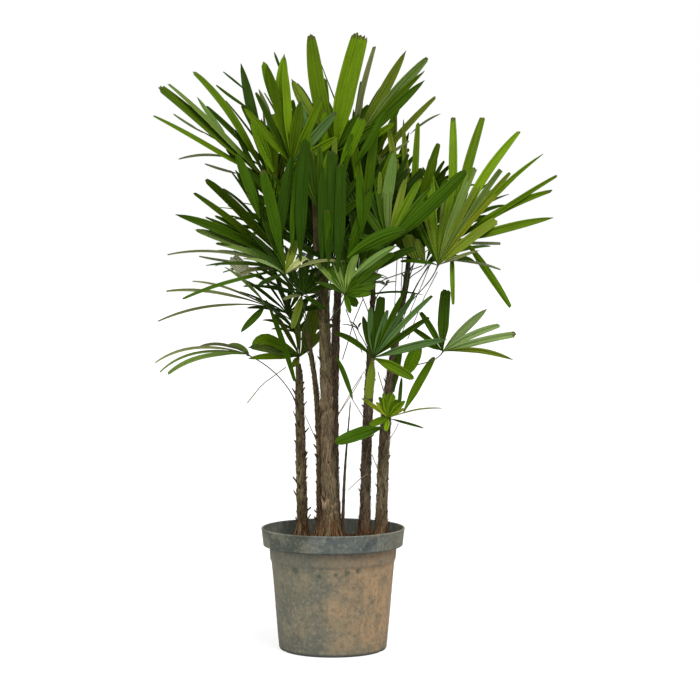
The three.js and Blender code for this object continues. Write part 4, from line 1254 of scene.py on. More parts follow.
FANS = {
    "left": {
        "low_fan": (640, (-83, 35, 705), (120, 68, 0), 24, 0.3, "olive",
            [(-48, 125), (-25, 160, 34), (-5, 135), (24, 120, 14), (60, 142, 28, "green curled square"),
             (76, 145, 24, "sage"), (93, 152, 18, "green stiff"), (136, 35)]),
        "far_fan": (588, (-203, 0, 713), (182, 15, -40), 15, 1, "sage",
            [(-24, 60, 20), (-1, 130, 12, "grey"), (19, 240, 11, "grey"), (20, 235, 13), (28, 220, 15)]),
        "back_fan": (660, (-95, 150, 760), (110, 35, 0), 24, 0.5, "deep",
            [(-75, 110), (-50, 120), (-25, 150), (0, 190), (25, 160), (50, 90), (75, 60)]),
    },
    "slim": {
        "left_fan": (745, (-159, -60, 832), (185, 15, -50), 15, 0.45, "sage",
            [(-36, 140, 12), (-5, 185, 9, "grey"), (7.5, 245, 10, "grey"), (27, 282, 8, "grey"),
             (68, 122, 17, "deep stiff")]),
        "front_fan": (755, (-73, -90, 857), (110, 55, 0), 13, 0.3, "shade",
            [(-130, 65), (-67, 80), (-45, 85), (-31, 90), (-18, 95), (-6, 90), (10, 100), (24, 115),
             (38, 120), (51, 125), (72, 95), (102, 55, 10, "grey"), (154, 110, 16, "olive")]),
        "back": (735, (-90, 120, 850), (120, 40, 0), 22, 0.4, "deep", even(8, 200, 75)),
    },
    "main": {
        "left_drooping": (840, (-107, -60, 918), (184, 8, -45), 14, 0.35, "deep",
            [(-16, 183, 19, "sage"), (0, 290, 9, "grey"), (9, 200, 12), (18, 120, 14, "grey"),
             (32, 290, 13)]),
        "left_rising": (850, (-121, 20, 936), (178, 42, -50), 22, 0.15, "deep",
            [(-36, 240, 26), (-21, 255, 34, "green"), (-2, 270, 28, "green"), (9.5, 272, 20, "green"),
             (14, 200, 18), (19, 220, 20), (26, 295, 28), (33, 240, 26, "sage stiff")]),
        "upper_left": (1000, (-160, -30, 1128), (182, 42, -50), 26, 0.08, "fresh",
            [(-62, 240, 26), (-49, 220, 8, "grey"), (-39, 310, 30, "deep"),
             (-13.5, 312, 25, "green humped"), (2, 325, 24, "sage"), (7, 335, 38, "green square"),
             (21, 318, 22, "green")]),
        "upper_left_back": (1030, (-130, 80, 1140), (165, 62, -50), 18, 0.08, "deep",
            [(-28, 210), (-12, 220, 8, "grey"), (4, 200, 26, "green"), (12, 230, 6, "grey"), (24, 250),
             (39, 250, 7), (60, 110)]),
        "top_left": (1085, (-99, -70, 1167), (100, 78, 0), 24, 0.05, "green",
            [(-60, 130), (-41, 165, 22, "bluish"), (-25, 175, 20), (-9, 150, 26),
             (3, 255, 20, "fresh pointed"), (13, 245, 26), (26, 190, 16, "deep"), (40, 170)]),
        "top_fan": (1105, (3, -20, 1199), (90, 84, 0), 30, 0.02, "fresh",
            [(-58, 120, None, "deep"), (-34, 110, 22, "deep"), (-12.5, 285, 43, "square"),
             (11.5, 283, 35, "blunt bowed"), (33, 150, 24, "green")]),
        "top_right": (1100, (46, 25, 1202), (0, 58, 60), 26, 0.05, "green",
            [(-32, 130, 16), (-20, 250, 22, "deep"), (-16, 265, 16), (-12.5, 290, 25, "sage"),
             (0, 274, 24, "olive"), (18.5, 260, 14, "grey")]),
        "front_low": (770, (29, -150, 859), (85, 50, 0), 19, 0.3, "deep",
            [(-163, 60, 12), (-85, 62, 20), (-68, 75, 22), (-54, 100, 20), (-42, 160, 20),
             (-33, 150, 14, "shade"), (-24, 115, 14), (-9, 122, 18, "sage square"), (2, 105, 12, "shade"),
             (10, 118, 12), (18, 135, 14, "sage curled"), (28, 120, 12), (38, 132, 14, "sage"),
             (62, 80, 14, "shade")]),
        "front_left": (810, (-111, -150, 908), (100, 40, 0), 18, 0.3, "deep",
            [(-75, 150, 7, "straw humped"), (-44, 100, 14, "straw curled"), (-18, 120, 18, "olive"),
             (10, 200, 28, "deep stiff"), (26, 150, 16, "shade"), (40, 120, 14, "shade"),
             (62, 105, 15, "pale humped"), (124, 90, 14, "shade")]),
        "front_high": (900, (-29, -120, 1048), (90, 70, 0), 26, 0.15, "green",
            [(-31, 120, 13, "shade"), (-23, 140, 15, "deep"), (-15, 150, 15, "deep"),
             (-7, 160, 16, "green"), (1, 165, 16, "deep"), (9, 160, 15, "deep"), (18, 150, 14, "deep"),
             (27, 130, 13, "shade")]),
        "crown_left": (970, (-146, -40, 1073), (110, 70, 0), 28, 0.1, "green",
            [(-45, 170, 16, "deep"), (-30, 195, 18), (-17, 200, 16, "olive"), (-5, 225, 22, "fresh square"),
             (9, 215, 18), (24, 200, 16, "deep"), (38, 170, 14)]),
        "crown_back": (1060, (-20, 90, 1190), (95, 80, 0), 28, 0.05, "deep", even(7, 190, 60)),
        "side_left": (890, (-165, 50, 1010), (150, 45, -20), 18, 0.3, "deep",
            [(-60, 180), (-43, 200), (-26, 200), (-9, 190), (9, 150), (26, 110), (43, 100), (60, 80)]),
        "back_left": (930, (-120, 165, 1050), (125, 50, 0), 22, 0.35, "shade",
            [(-70, 190), (-50, 215), (-30, 240), (-10, 250), (10, 230), (30, 170), (50, 110), (70, 70)]),
        "back_low": (820, (-100, 190, 900), (120, 20, 0), 24, 0.6, "deep", even(8, 240, 80)),
    },
    "rear": {
        "right_rising": (1040, (89, 20, 1158), (0, 45, 55), 18, 0.1, "green",
            [(-40, 80), (-27, 90), (-15, 120, 8, "grey"), (-1, 235, 16, "olive"), (20, 200),
             (38, 180, 14)]),
        "top_back": (1065, (40, 140, 1200), (85, 70, 0), 26, 0.1, "deep",
            [(-55, 110), (-40, 150), (-24, 200), (-8, 190), (8, 190), (24, 170), (40, 170), (55, 150)]),
        "back": (960, (30, 230, 1060), (95, 35, 0), 24, 0.5, "green", even(8, 260, 75)),
        "back_left": (900, (-70, 240, 985), (130, 25, 0), 24, 0.55, "green", even(8, 250, 75)),
        "back_low": (800, (40, 260, 880), (85, 12, 0), 22, 0.7, "green",
            [(-80, 90), (-57, 110), (-34, 150), (-11, 240), (11, 240), (34, 190), (57, 130), (80, 100)]),
        "back_right": (930, (140, 220, 1020), (55, 32, 0), 24, 0.5, "green", even(8, 255, 75)),
        "left": (1000, (-60, 130, 1130), (140, 65, 0), 26, 0.2, "deep", even(7, 240, 60)),
        "crown_right": (980, (125, 30, 1080), (80, 80, 0), 22, 0.05, "deep",
            [(-45, 110), (-32, 130), (-19, 180), (-6, 230, 16, "olive"), (6, 240), (19, 230), (32, 200),
             (45, 180)]),
    },
    "right": {
        "low_front": (610, (96, -60, 708), (90, 75, 0), 22, 0.2, "bluish",
            [(-187, 105, 19, "olive square"), (-117, 112, 22, "green"), (-74, 182, 18, "bluish"),
             (-52, 165, 14, "deep"), (-42, 205, 12, "bluish"), (-32, 185, 13, "bluish"),
             (-24, 175, 14, "deep"), (-16, 120, 14, "bluish"), (-7, 147, 22, "deep square"),
             (3, 122, 16, "bluish"), (13, 105, 16, "deep"), (55, 110, 13, "deep humped")]),
        "front": (870, (130, -110, 978), (80, 55, 0), 24, 0.2, "deep",
            [(-43, 185, 16), (-30, 180, 14), (-20, 190, 18, "green"), (-9, 200, 16, "olive"),
             (4, 230, 18, "sage"), (13, 200, 14, "deep"), (22, 180, 14, "shade"), (35, 145, 18),
             (77, 100, 14, "shade"), (123, 40, 16), (165, 30, 14)]),
        "front_high": (950, (77, -40, 1025), (90, 75, 0), 26, 0.1, "green",
            [(-38, 170, 18, "shade"), (-20, 190), (-6, 245, 22, "deep"), (8, 250), (24, 170, 18, "shade"),
             (40, 165, 20, "deep")]),
        "inner": (860, (60, 80, 960), (85, 65, 0), 28, 0.2, "shade", even(8, 230, 70)),
        "back": (940, (150, 130, 1060), (50, 45, 0), 24, 0.35, "deep", even(8, 150, 70)),
        "back_low": (800, (130, 200, 880), (60, 15, 0), 22, 0.6, "deep",
            [(-34, 30, 5), (11, 34, 6), (57, 45, 6), (80, 36, 5)]),
        "low_back": (700, (60, 160, 770), (100, 30, 0), 22, 0.5, "deep",
            [(-25, 28, 5), (25, 36, 6), (60, 40, 6)]),
    },
    "far_right": {
        "big_fan": (800, (285, -40, 982), (350, 28, 65), 20, 0.12, "fresh",
            [(-109, 170, 12, "green"), (-74, 30, 12), (-18.2, 262, 20, "fresh"),
             (-3, 272, 16, "humped green"), (2, 298, 12, "green"), (15.5, 302, 11, "humped green"),
             (32, 310, 20, "fresh bowed"), (50.8, 315, 21), (64.2, 315, 19, "fresh"),
             (82, 190, 18, "green square")]),
        "front_fan": (790, (249, -90, 928), (75, 60, 0), 20, 0.2, "green",
            [(-68, 105, 8, "grey"), (-48, 174, 22, "olive square"), (-36, 280, 11, "yellow"),
             (-32, 285, 14, "olive"), (-27, 280, 14, "sage square"), (-22, 278, 14, "olive square"),
             (-14, 262, 18, "sage square"), (-6, 230, 14, "green"), (0, 195, 16, "olive"), (9, 255, 18),
             (18, 190, 13, "olive"), (27, 175, 14, "deep"), (84, 90, 12, "deep")]),
        "low_fan": (650, (263, -60, 723), (60, 62, 0), 22, 0.15, "dusty",
            [(-96, 205, 12, "olive humped"), (-77, 197, 16, "square"), (-64, 158, 16), (-42, 147, 20),
             (7.6, 157, 25, "deep square"), (38, 125, 14, "deep"), (58, 105, 12, "deep"),
             (74, 60, 10, "deep")]),
        "small_fan": (530, (133, -10, 560), (90, 70, 0), 16, 0.2, "yellow",
            [(-105, 90, 6, "deep"), (-78, 132, 4, "straw humped"), (-58, 45), (-43, 60, 14, "green"),
             (-25, 50, 14, "green"), (-13, 60, 15, "fresh"), (-2, 66, 16, "fresh"), (10, 62, 13, "fresh"),
             (22, 55, 12, "green"), (36, 50, 13), (52, 82, 10), (113, 50, 20, "green"),
             (170, 35, 12, "fresh")]),
        "upright": (930, (190, 0, 989), (85, 84, 0), 20, 0.02, "fresh",
            [(-30, 170, 12, "deep"), (-15.5, 240, 20, "green"), (-8, 170, 12, "deep"), (-3, 280, 15),
             (4, 290, 14, "olive"), (12, 275, 16, "olive"), (22, 220, 12, "sage")]),
        "back_fan": (900, (290, 120, 1010), (30, 38, 0), 20, 0.45, "deep", even(8, 190, 70)),
        "back": (850, (230, 210, 930), (60, 25, 0), 22, 0.55, "deep",
            [(-75, 130), (-54, 170), (-32, 240), (-11, 250), (11, 250), (32, 240), (54, 180), (75, 110)]),
        "rising": (1000, (234, 40, 1110), (15, 65, 40), 12, 0.1, "deep", even(6, 82, 40)),
        "inner": (860, (205, 60, 960), (70, 75, 0), 22, 0.1, "deep", even(7, 220, 50)),
    },
}
print(sum(len(fans) for fans in FANS.values()), "fans")

# %% [markdown]
# Deep in the crown stand more fans of darker leaflets, in the shade and deep tones that are painted shade
# there. They add no size to the plant, so the frame does without them, and they are what keeps daylight
# out of the middle of a real clump.

# %% The inner fans
INNER = {
    "slim": {
        "inner": (700, (-110, -20, 812), (120, 50, 0), 14, 0.3, "shade", even(9, 140, 80)),
    },
    "main": {
        "inner_left": (820, (-60, -10, 960), (100, 75, 0), 22, 0.2, "shade", even(8, 215, 55)),
        "inner_front": (800, (0, -60, 930), (90, 72, 0), 22, 0.2, "shade", even(8, 210, 60)),
        "inner_middle": (860, (-40, -60, 1000), (100, 80, 0), 22, 0.15, "deep", even(8, 200, 50)),
        "inner_side": (900, (-95, -25, 1020), (125, 70, 0), 22, 0.15, "shade", even(8, 205, 55)),
        "inner_top": (960, (20, 40, 1080), (90, 82, 0), 22, 0.1, "deep", even(8, 190, 45)),
        "inner_high": (1040, (-70, 30, 1130), (105, 78, 0), 20, 0.1, "deep", even(8, 190, 50)),
    },
    "rear": {
        "inner": (860, (40, -20, 1000), (85, 78, 0), 22, 0.15, "shade", even(8, 210, 55)),
        "inner_high": (1000, (70, 40, 1110), (75, 78, 0), 20, 0.1, "deep", even(8, 190, 50)),
    },
    "right": {
        "inner_front": (780, (60, -80, 900), (80, 70, 0), 22, 0.2, "shade", even(8, 190, 60)),
        "inner_side": (860, (105, -20, 1010), (70, 76, 0), 22, 0.15, "shade", even(8, 200, 50)),
    },
    "far_right": {
        "inner_front": (850, (185, -20, 940), (75, 70, 0), 20, 0.2, "deep", even(8, 180, 40)),
    },
}

# %% Where a fan's leaflets start and which way they point
NARROWEST = 9 * MM
CROWDING = 0.62  # the widest a leaflet may be, as a share of the gap between its end and its neighbour's


class Fan:
    """A fan's hub, the axes of its plane, and its leaflets."""

    def __init__(self, cane, row):
        foot, hub, turns, width, droop, tone, leaflets = row
        heading, lift, roll = [math.radians(turn) for turn in turns]
        self.cane = cane
        self.foot = foot * MM
        self.hub = np.array(hub) * MM
        flat = math.cos(lift)
        self.axis = np.array([flat * math.cos(heading), flat * math.sin(heading), math.sin(lift)])
        level = np.array([-math.sin(heading), math.cos(heading), 0.0])
        upper = np.cross(self.axis, level)
        self.side = math.cos(roll) * level + math.sin(roll) * upper
        self.normal = -math.sin(roll) * level + math.cos(roll) * upper
        self.width = width * MM
        self.droop = droop
        self.tone = tone
        self.leaflets = leaflets

    def usual_width(self, number, rng):
        """The width of a leaflet that has none of its own, which its nearest neighbour may limit."""
        angle, length = self.leaflets[number][:2]
        others = [leaflet[0] for k, leaflet in enumerate(self.leaflets) if k != number]
        gap = math.radians(min(abs(angle - other) for other in others))
        return max(NARROWEST, min(self.width * rng.uniform(0.7, 1.1), CROWDING * gap * length * MM))


# %% [markdown]
# ### One leaflet
#
# The leaflet's middle line sets off from the hub and bends down under its own weight. Rings across it
# alternate between fold and valley, the two halves tilt up like an open book near the hub, and the last
# rings are pulled back into a blunt, toothed end. Every leaflet is rolled a few degrees the same way, so
# that it overlaps its neighbour like a roof tile and never cuts through it.
#
# The words for a leaflet's looks are a tone, `pointed`, `blunt` or `square` for its tip, `turned` when it
# shows its edge, `curled` when its end hangs, `humped` when it arches upwards, `bowed` when it arches
# sideways, and `stiff` when it doesn't droop.

# %% A leaflet's middle line
STATIONS = np.array([  # shares of a leaflet's length, closer together where it changes more
    0, 0.02, 0.05, 0.09, 0.14, 0.2, 0.27, 0.35, 0.43, 0.51,
    0.59, 0.67, 0.75, 0.82, 0.88, 0.925, 0.96, 0.985, 1,
])
CURL = 0.1
CURL_FROM = 0.62  # the share of its length from which a curled leaflet hangs
ARCH = 0.045  # how far a bowed or humped leaflet arches, as a share of its length
TILE_ROLL = math.radians(11.0)
EDGE_ROLL = math.radians(62.0)  # how much more a leaflet is rolled that shows its edge


def at_stations(values):
    """Values at even steps along a leaflet, read off at its stations."""
    shares = np.linspace(0.0, 1.0, len(values))
    return np.stack([np.interp(STATIONS, shares, v) for v in np.array(values).T], axis=-1)


def bending_line(start, direction, length, droop, curl=0.0, steps=48):
    """A line that bends down along its way, and once more near its end when it is curled."""
    points, directions = [start], [direction]
    for k in range(steps):
        bend = 1.6 * droop * k / steps**2 + curl * (k > CURL_FROM * steps)
        direction = unit(direction - UP * bend)
        points.append(points[-1] + direction * length / steps)
        directions.append(direction)
    return at_stations(points), unit(at_stations(directions))


def rolled(across, directions, looks, rng):
    """The sideways and upward axes of a leaflet at its stations."""
    roll = TILE_ROLL + math.radians(rng.uniform(-5, 5)) + (EDGE_ROLL if "turned" in looks else 0.0)
    twist = math.radians(rng.uniform(-14, 14))
    u = square_to(np.broadcast_to(across, directions.shape), directions)
    n = np.cross(directions, u)
    turn = column(roll + twist * STATIONS)
    return u * np.cos(turn) + n * np.sin(turn), n * np.cos(turn) - u * np.sin(turn)


def arched(points, u, n, length, looks, rng):
    """The middle line, bent a little sideways and upwards between its ends."""
    belly = column(np.sin(math.pi * STATIONS)) * length
    bow, arch = rng.uniform(-0.018, 0.018), rng.uniform(0.0, 0.03)
    bow += ARCH if "bowed" in looks else 0.0
    hump = ARCH if "humped" in looks else 0.0
    return points + belly * (u * bow + n * arch + UP * hump)


# %% A leaflet's outline and folds
TIP_WIDTHS = {"pointed": 0.12, "blunt": 0.5, "square": 0.84}  # as shares of the greatest width
POINTED_SHARE = 0.25  # how many leaflets without a word for their tip are pointed
FOLD_WIDTH = 7.5 * MM
FOLD_DEPTH = 2.3 * MM
BOOK_SHUT = math.radians(62.0)  # how steeply the two halves stand at the hub
BOOK_OPEN = math.radians(14.0)  # and further out
TIP_PULL = 0.2  # how far the corners of a tip are pulled back, as a share of its width
TOOTH = 0.13  # and how long its teeth are


def tip_width(looks, rng):
    """The width of a leaflet's tip as a share of its greatest, and whether the tip is pointed."""
    words = [word for word in looks if word in TIP_WIDTHS]
    pointed = "pointed" in words or (not words and rng.random() < POINTED_SHARE)
    width = TIP_WIDTHS["pointed"] if pointed else rng.uniform(0.36, 0.6)
    return TIP_WIDTHS[words[0]] if words else width, pointed


def outline(tip, root):
    """Half widths along a leaflet as shares of the greatest: quick to widen, long, then blunt."""
    swell = lerp(root, 1.0, np.clip(STATIONS / 0.4, 0.0, 1.0) ** 0.6)
    taper = 1.0 - (1.0 - tip) * np.clip((STATIONS - 0.56) / 0.44, 0.0, 1.0) ** 2.3
    return swell * taper


def upper_side(points, directions, u, n, width, shape, pointed, rng):
    """Rows of points across a leaflet's upper side, folded lengthwise and toothed at the tip."""
    folds = max(2, round(width / FOLD_WIDTH))
    x = np.linspace(1.0, -1.0, 2 * folds + 1)
    half = column(width / 2.0 * shape)
    book = column(lerp(BOOK_SHUT, BOOK_OPEN, ease(STATIONS / 0.4)))
    depth = column(FOLD_DEPTH * ease(STATIONS / 0.15) * lerp(1.0, 0.5, STATIONS))
    ridge = np.arange(len(x)) % 2
    sideways = half * x * np.cos(book)
    height = half * np.abs(x) * np.sin(book) + depth * ridge
    teeth = np.array([rng.uniform(-0.5, 1.0) for _ in x]) * (0.0 if pointed else TOOTH * width)
    pull = column(ease((STATIONS - 0.93) / 0.07)) * (teeth - TIP_PULL * width * x**2)
    return (
        points[:, None, :]
        + u[:, None, :] * sideways[..., None]
        + n[:, None, :] * height[..., None]
        + directions[:, None, :] * pull[..., None]
    )


# %% A leaflet's blade
BLADE = 0.45 * MM  # thickness
DRY_FROM = (0.972, 1.03)  # the share of its length from which a leaflet's tip is dry


def leaf_slots(skin, tone, columns, rng, dry_from):
    """A material slot for each face: a shade of the tone above, its pale side below, and a dry tip."""
    at = column((STATIONS[:-1] + STATIONS[1:]) / 2.0)
    ragged = np.array([rng.uniform(-0.02, 0.02) for _ in range(2 * columns)])
    above = skin.slot(leaf_tops[tone][rng.choice((0, 0, 1, 2))])
    under, dry = skin.slot(leaf_below[tone]), skin.slot(leaf_dry)
    slots = np.where(np.arange(2 * columns) < columns, above, under)[None, :]
    return np.where(at + ragged > dry_from, dry, slots)


def blade(skin, line, across, width, tone, looks, rng, number=0, root=0.06):
    """Skins a leaflet on a middle line of points and directions.

    number shifts its map, so that no two leaflets of a fan have the same lines. root is its width at
    the start, as a share of its greatest."""
    points, directions = line
    length = lengths_along(points)[-1]
    tip, pointed = tip_width(looks, rng)
    u, n = rolled(across, directions, looks, rng)
    dry_from = rng.uniform(*DRY_FROM)
    points = arched(points, u, n, length, looks, rng)
    top = upper_side(points, directions, u, n, width, outline(tip, root), pointed, rng)
    below = (top - n[:, None, :] * BLADE)[:, -2:0:-1, :]
    columns = top.shape[1] - 1
    tone = next((word for word in looks if word in TONES), tone)
    slots = leaf_slots(skin, tone, columns, rng, dry_from)
    rise = np.linspace(0.0, columns / 2.0, columns + 1)
    across_map = np.concatenate([rise, rise[-2::-1]])
    skin.tube(np.concatenate([top, below], axis=1), across_map, STATIONS * length + 0.7 * number, slots)


# %% A leaflet of a fan
CUP = 0.14  # how far leaflets rise out of the fan's plane
SHOWN = 1.15  # a folded, rolled blade is this much wider than it looks


def leaflet(skin, fan, number, rng):
    """Reads a leaflet's angle, length, width and words from its fan, and skins it."""
    angle, length, *more = fan.leaflets[number]
    width = more[0] if more else None
    looks = more[1].split() if len(more) > 1 else []
    turn = math.radians(angle)
    across = math.cos(turn) * fan.side - math.sin(turn) * fan.axis
    flat = math.cos(turn) * fan.axis + math.sin(turn) * fan.side
    droop = 0.0 if "stiff" in looks else fan.droop * rng.uniform(0.8, 1.25)
    curl = CURL if "curled" in looks else 0.0
    width = SHOWN * width * MM if width else fan.usual_width(number, rng)
    line = bending_line(fan.hub, unit(flat + CUP * fan.normal), length * MM, droop, curl)
    blade(skin, line, across, width, fan.tone, looks, rng, number)


# %% Stalk, from the cane's fibre to the hub
STALK_RADIUS = 1.35 * MM
STALK_FOOT = 3.2 * MM  # how much thicker it is where it leaves the fibre
HUB_SWELL = 1.9 * MM  # and at the hub
SHEATHED = 0.1  # the share of it that is still in its sheath


def stalk(skin, fan, rings=22, sides=8):
    """A curve that leaves the cane steeply and arrives along the fan's axis."""
    centre, radius = fan.cane.centre(fan.foot), fan.cane.radius(fan.foot)
    outward = unit((fan.hub - centre) * (1.0, 1.0, 0.0))
    start = centre + outward * (radius - 2.0 * MM)
    end = fan.hub - fan.normal * 1.5 * MM
    reach = np.linalg.norm(end - start)
    leaving = unit(outward + 2.2 * UP)
    arriving = unit(fan.axis + 0.5 * outward + 0.4 * UP)
    t = np.linspace(0.0, 1.0, rings)[:, None]
    handles = (start, start + leaving * reach * 0.35, end - arriving * reach * 0.3, end + fan.axis * 5.0 * MM)
    weights = ((1 - t) ** 3, 3 * t * (1 - t) ** 2, 3 * t * t * (1 - t), t**3)
    path = sum(weight * handle for weight, handle in zip(weights, handles))
    share = t[:, 0]
    foot, hub = np.exp(-share * 22.0), np.exp(-((1.0 - share) * 26.0) ** 2)
    radii = STALK_RADIUS + STALK_FOOT * foot + HUB_SWELL * hub
    slots = np.where(share[:-1] < SHEATHED, skin.slot(sheath_brown), skin.slot(stalk_green))[:, None]
    round_tube(skin, path, radii, sides, fan.side, slots)


# %% Make the fronds
def frond(cane_name, name, row):
    """A fan of leaflets with its stalk, as one piece."""
    rng = random.Random(name)
    fan = Fan(CANES[cane_name], row)
    skin = Skin()
    for number in range(len(fan.leaflets)):
        leaflet(skin, fan, number, rng)
    stalk(skin, fan)
    return skin.piece(f"fan_{name}")


for cane_name, fans in FANS.items():
    for fan_name, row in fans.items():
        name = f"{cane_name}_{fan_name}"
        seat(frond(cane_name, name, row), "leaf", f"frond_{name}")

for cane_name, fans in INNER.items():
    for fan_name, row in fans.items():
        seat(frond(cane_name, f"{cane_name}_{fan_name}", row), "leaf")

# %% [markdown]
# ### Single leaflets and twigs
#
# A living clump is never as tidy as its fans: single leaflets have slipped out of line, show their edge or
# have shrunk to a thread, and bare stalks of fallen fans are left standing. A computer could strew them,
# but where they show against the light they give the crown its outline, so each is placed one by one: a row
# says, in millimetres, where it starts and ends, how far its middle rises, its width and its looks.

# %% Single leaflets
# Leaflets in the shade tone here are painted shade, for the darkest middle of the crown.
SINGLES = [
    ((-8, -110, 905), (-12, -140, 1058), 0, 15, "deep square"),
    ((36, -110, 935), (95, -110, 1112), 0, 24, "deep"),
    ((68, -120, 1010), (62, -120, 1150), 0, 14, "deep"),
    ((113, -60, 998), (146, -60, 1194), 0, 24, "sage"),
    ((113, -50, 990), (112, -50, 1150), 0, 12, "olive"),
    ((36, -150, 945), (167, -150, 1010), 14, 29, "deep"),
    ((46, -155, 900), (146, -150, 973), 4, 16, "sage"),
    ((123, -130, 975), (311, -130, 1149), 0, 30, "deep"),
    ((-62, -60, 1080), (-56, -80, 1239), 0, 17, "green"),
    ((-45, -60, 1070), (-44, -80, 1200), 0, 11, "olive"),
    ((-28, -50, 1130), (-19, -60, 1295), 0, 18, "green"),
    ((-8, -50, 1080), (6, -70, 1230), 0, 14, "olive"),
    ((17, -60, 1160), (70, -60, 1276), 0, 24, "green square"),
    ((20, -60, 1120), (45, -60, 1240), 0, 12, "deep"),
    ((52, -50, 1165), (122, -50, 1290), 0, 16, "deep"),
    ((-120, -60, 1280), (-163, -60, 1408), 0, 22, "green"),
    ((-122, -50, 1240), (-115, -50, 1430), 0, 28, "fresh pointed"),
    ((-140, -60, 1150), (-194, -60, 1282), 0, 24, "fresh"),
    ((-150, -50, 1145), (-170, -50, 1277), 0, 20, "green"),
    ((-25, -50, 1245), (-98, -50, 1371), 0, 24, "olive"),
    ((-46, -55, 1210), (-79, -55, 1320), 0, 16, "bluish"),
    ((39, 10, 1252), (-29, 0, 1414), 0, 9, "deep turned"),
    ((-240, -30, 1215), (-324, -30, 1330), 0, 12, "sage"),
    ((-310, -20, 1245), (-381, -20, 1290), 0, 6, "grey"),
    ((-205, 0, 1345), (-263, 0, 1392), 0, 5, "deep"),
    ((-195, 0, 1300), (-280, 0, 1360), 0, 7, "deep"),
    ((-240, 0, 1185), (-371, 0, 1183), 8, 6, "grey"),
    ((-225, 0, 1148), (-308, 0, 1172), 0, 6, "grey"),
    ((-146, 0, 1285), (-178, 0, 1351), 0, 9, "grey"),
    ((-122, 0, 1390), (-141, 0, 1440), 0, 6, "deep pointed"),
    ((13, -120, 930), (20, -120, 1084), 0, 20, "shade"),
    ((-118, -145, 950), (-163, -140, 1150), 0, 25, "deep"),
    ((-170, -100, 1040), (-225, -90, 1190), 0, 22, "deep"),
    ((-196, -20, 900), (-243, -20, 947), 0, 30, "husk square"),
    ((209, -30, 748), (172, -30, 663), 0, 30, "green pointed"),
    ((118, -30, 541), (6, -60, 506), 5, 29, "deep"),
    ((8, -60, 712), (48, -60, 608), 6, 11, "deep pointed"),
    ((-159, -60, 846), (-92, -20, 650), 0, 12, "deep"),
    ((158, -10, 570), (166, 0, 657), 0, 9, "deep"),
    ((313, -50, 992), (424, -50, 828), 4, 16, "green"),
    ((300, -60, 982), (399, -60, 980), 0, 7, "grey square"),
    ((186, 20, 1244), (260, 20, 1293), 6, 5, "grey"),
    ((279, -60, 939), (399, -60, 918), 8, 6, "grey"),
    ((-215, -20, 934), (-321, -20, 950), 0, 6, "grey"),
    ((60, -30, 850), (219, -20, 857), 10, 5, "deep"),
    ((187, 40, 938), (165, 40, 812), 0, 10, "deep"),
    ((-74, -125, 940), (-62, -130, 1222), 0, 26, "shade square"),
    ((-24, -120, 925), (-24, -135, 1165), 0, 20, "shade"),
    ((-10, -125, 920), (-2, -130, 1196), 0, 24, "shade square"),
    ((14, -128, 915), (21, -130, 1164), 0, 24, "shade square"),
    ((-130, -120, 960), (-96, -110, 1184), 0, 24, "shade"),
    ((-95, -122, 965), (-74, -115, 1190), 0, 22, "deep"),
    ((29, -60, 863), (58, -60, 832), 0, 20, "deep"),
    ((148, 20, 621), (165, 20, 735), 0, 15, "deep"),
    ((171, -10, 575), (243, -20, 708), 0, 18, "green"),
    ((205, -60, 937), (175, -60, 1000), 0, 28, "olive square"),
    ((220, -60, 937), (198, -60, 992), 0, 18, "olive"),
]


def between(start, end, rise):
    """Points and directions of a line from one place to another that rises in its middle."""
    t = column(STATIONS)
    points = lerp(start, end, t) + UP * 4.0 * rise * t * (1.0 - t)
    return points, unit(np.gradient(points, STATIONS, axis=0))


skin = Skin()
rng = random.Random("single leaflets")
for start, end, rise, width, looks in SINGLES:
    line = between(np.array(start) * MM, np.array(end) * MM, rise * MM)
    across = unit(np.cross(line[1][0], (0.0, -1.0, 0.15)))
    blade(skin, line, across, SHOWN * width * MM, "green", looks.split(), rng, root=0.4)
seat(skin.piece("single_leaflets"), "leaf")

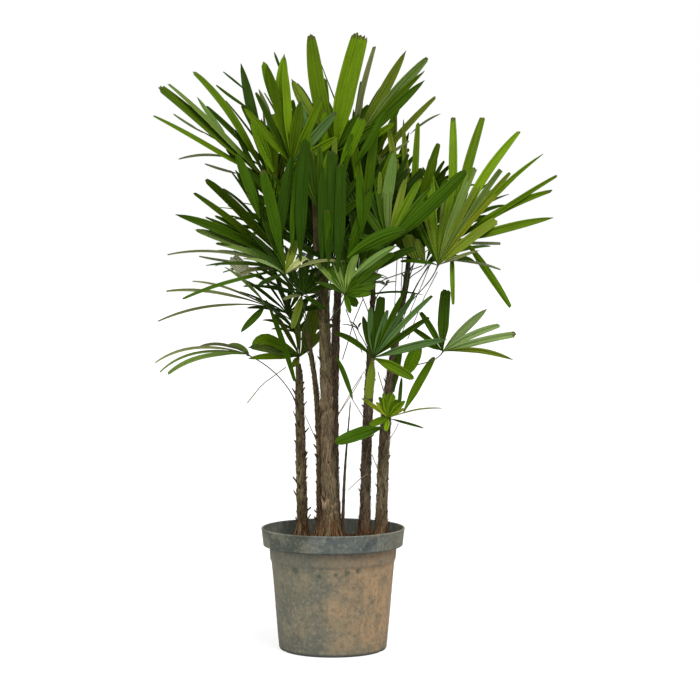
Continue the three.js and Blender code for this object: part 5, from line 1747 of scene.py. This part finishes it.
# %% Twigs
TWIG_SEAM = (0.3, 0.9, 0.1)
TWIGS = [  # radius, finish and path
    (1.0, stalk_green, [(156, 40, 958), (150, 40, 843), (148, 40, 760)]),
    (1.0, stalk_green, [(169, 40, 960), (165, 40, 868), (160, 40, 760)]),
    (1.0, stalk_green, [(230, -40, 932), (209, -40, 896), (185, -30, 846), (156, 0, 762)]),
    (1.0, stalk_green, [(233, -40, 932), (211, -40, 877), (197, -30, 846), (165, 0, 762)]),
    (1.0, stalk_green, [(250, -40, 913), (228, -40, 870), (218, -30, 851), (180, 0, 750)]),
    (1.4, stalk_green, [(107, -20, 886), (132, -20, 898), (168, -20, 910), (214, -20, 927)]),
    (1.2, stalk_green, [(31, -60, 824), (53, -60, 766), (70, -50, 720)]),
    (1.2, stalk_green, [(72, -60, 848), (48, -60, 790), (41, -50, 761), (23, -40, 703)]),
    (7.0, sheath_brown, [(-38, -100, 962), (-40, -90, 1050), (-50, -20, 1160)]),
    (1.3, stalk_dry, [(-207, 0, 596), (-172, 0, 640), (-113, 0, 683)]),
    (1.0, stalk_dry, [(-68, 0, 567), (-41, 0, 507)]),
    (1.0, stalk_dry, [(12, -20, 567), (45, -20, 618), (70, -20, 661)]),
    (1.0, stalk_dry, [(41, -10, 615), (77, 0, 555)]),
    (1.0, stalk_dry, [(36, 0, 384), (65, 0, 412), (84, 0, 424)]),
    (1.0, stalk_dry, [(94, 0, 471), (108, 0, 435)]),
    (1.2, stalk_dry, [(108, -20, 673), (122, -10, 625)]),
    (1.0, stalk_dry, [(75, -20, 673), (50, -20, 635), (17, -20, 577)]),
    (1.0, stalk_dry, [(134, -10, 505), (150, -10, 530), (158, -10, 548)]),
]

skin = Skin()
for radius, material, row in TWIGS:
    corners = np.array(row) * MM
    t = np.linspace(0.0, len(corners) - 1, 8)
    path = np.stack([np.interp(t, range(len(corners)), v) for v in corners.T], axis=-1)
    round_tube(skin, path, np.full(len(path), radius * MM), 6, TWIG_SEAM, skin.slot(material))
seat(skin.piece("twigs"), "leaf")

# %% [markdown]
# ## Floor
#
# A plain white floor carries the pot's faint shadow and ends far behind the plant. Most of its white
# is a glow that only the camera sees, as on a lit studio table, so that no line shows where it meets the
# white behind it and no strong light comes up at the leaves.

# %% Floor paint
FLOOR_GLOW = 0.72
FLOOR_LIGHT = 0.1
FLOOR_DARK = (0.32, 0.32, 0.32, 1.0)
FLOOR_PALE = (0.35, 0.35, 0.35, 1.0)

floor_paint, g, shader, solid, _ = finish("floor_paint", 0.9, 0.0)
shader.inputs["Emission Color"].default_value = WHITE
seen = g.add("ShaderNodeLightPath").outputs["Is Camera Ray"]
g.link(g.spread(seen, 0.0, 1.0, FLOOR_LIGHT, FLOOR_GLOW), shader.inputs["Emission Strength"])
connect(g, shader, colour=g.mix(grain(g, solid, 60.0), FLOOR_DARK, FLOOR_PALE))

# %% Make the floor
FLOOR_SIZE = 120.0

half = FLOOR_SIZE / 2.0
corners = [(-half, -half, 0.0), (half, -half, 0.0), (half, half, 0.0), (-half, half, 0.0)]
floor_mesh = bpy.data.meshes.new("floor")
floor_mesh.from_pydata(corners, [], [(0, 1, 2, 3)])
floor_mesh.materials.append(floor_paint)
floor = bpy.data.objects.new("floor", floor_mesh)
bpy.context.scene.collection.objects.link(floor)
print("floor", FLOOR_SIZE, "m wide")
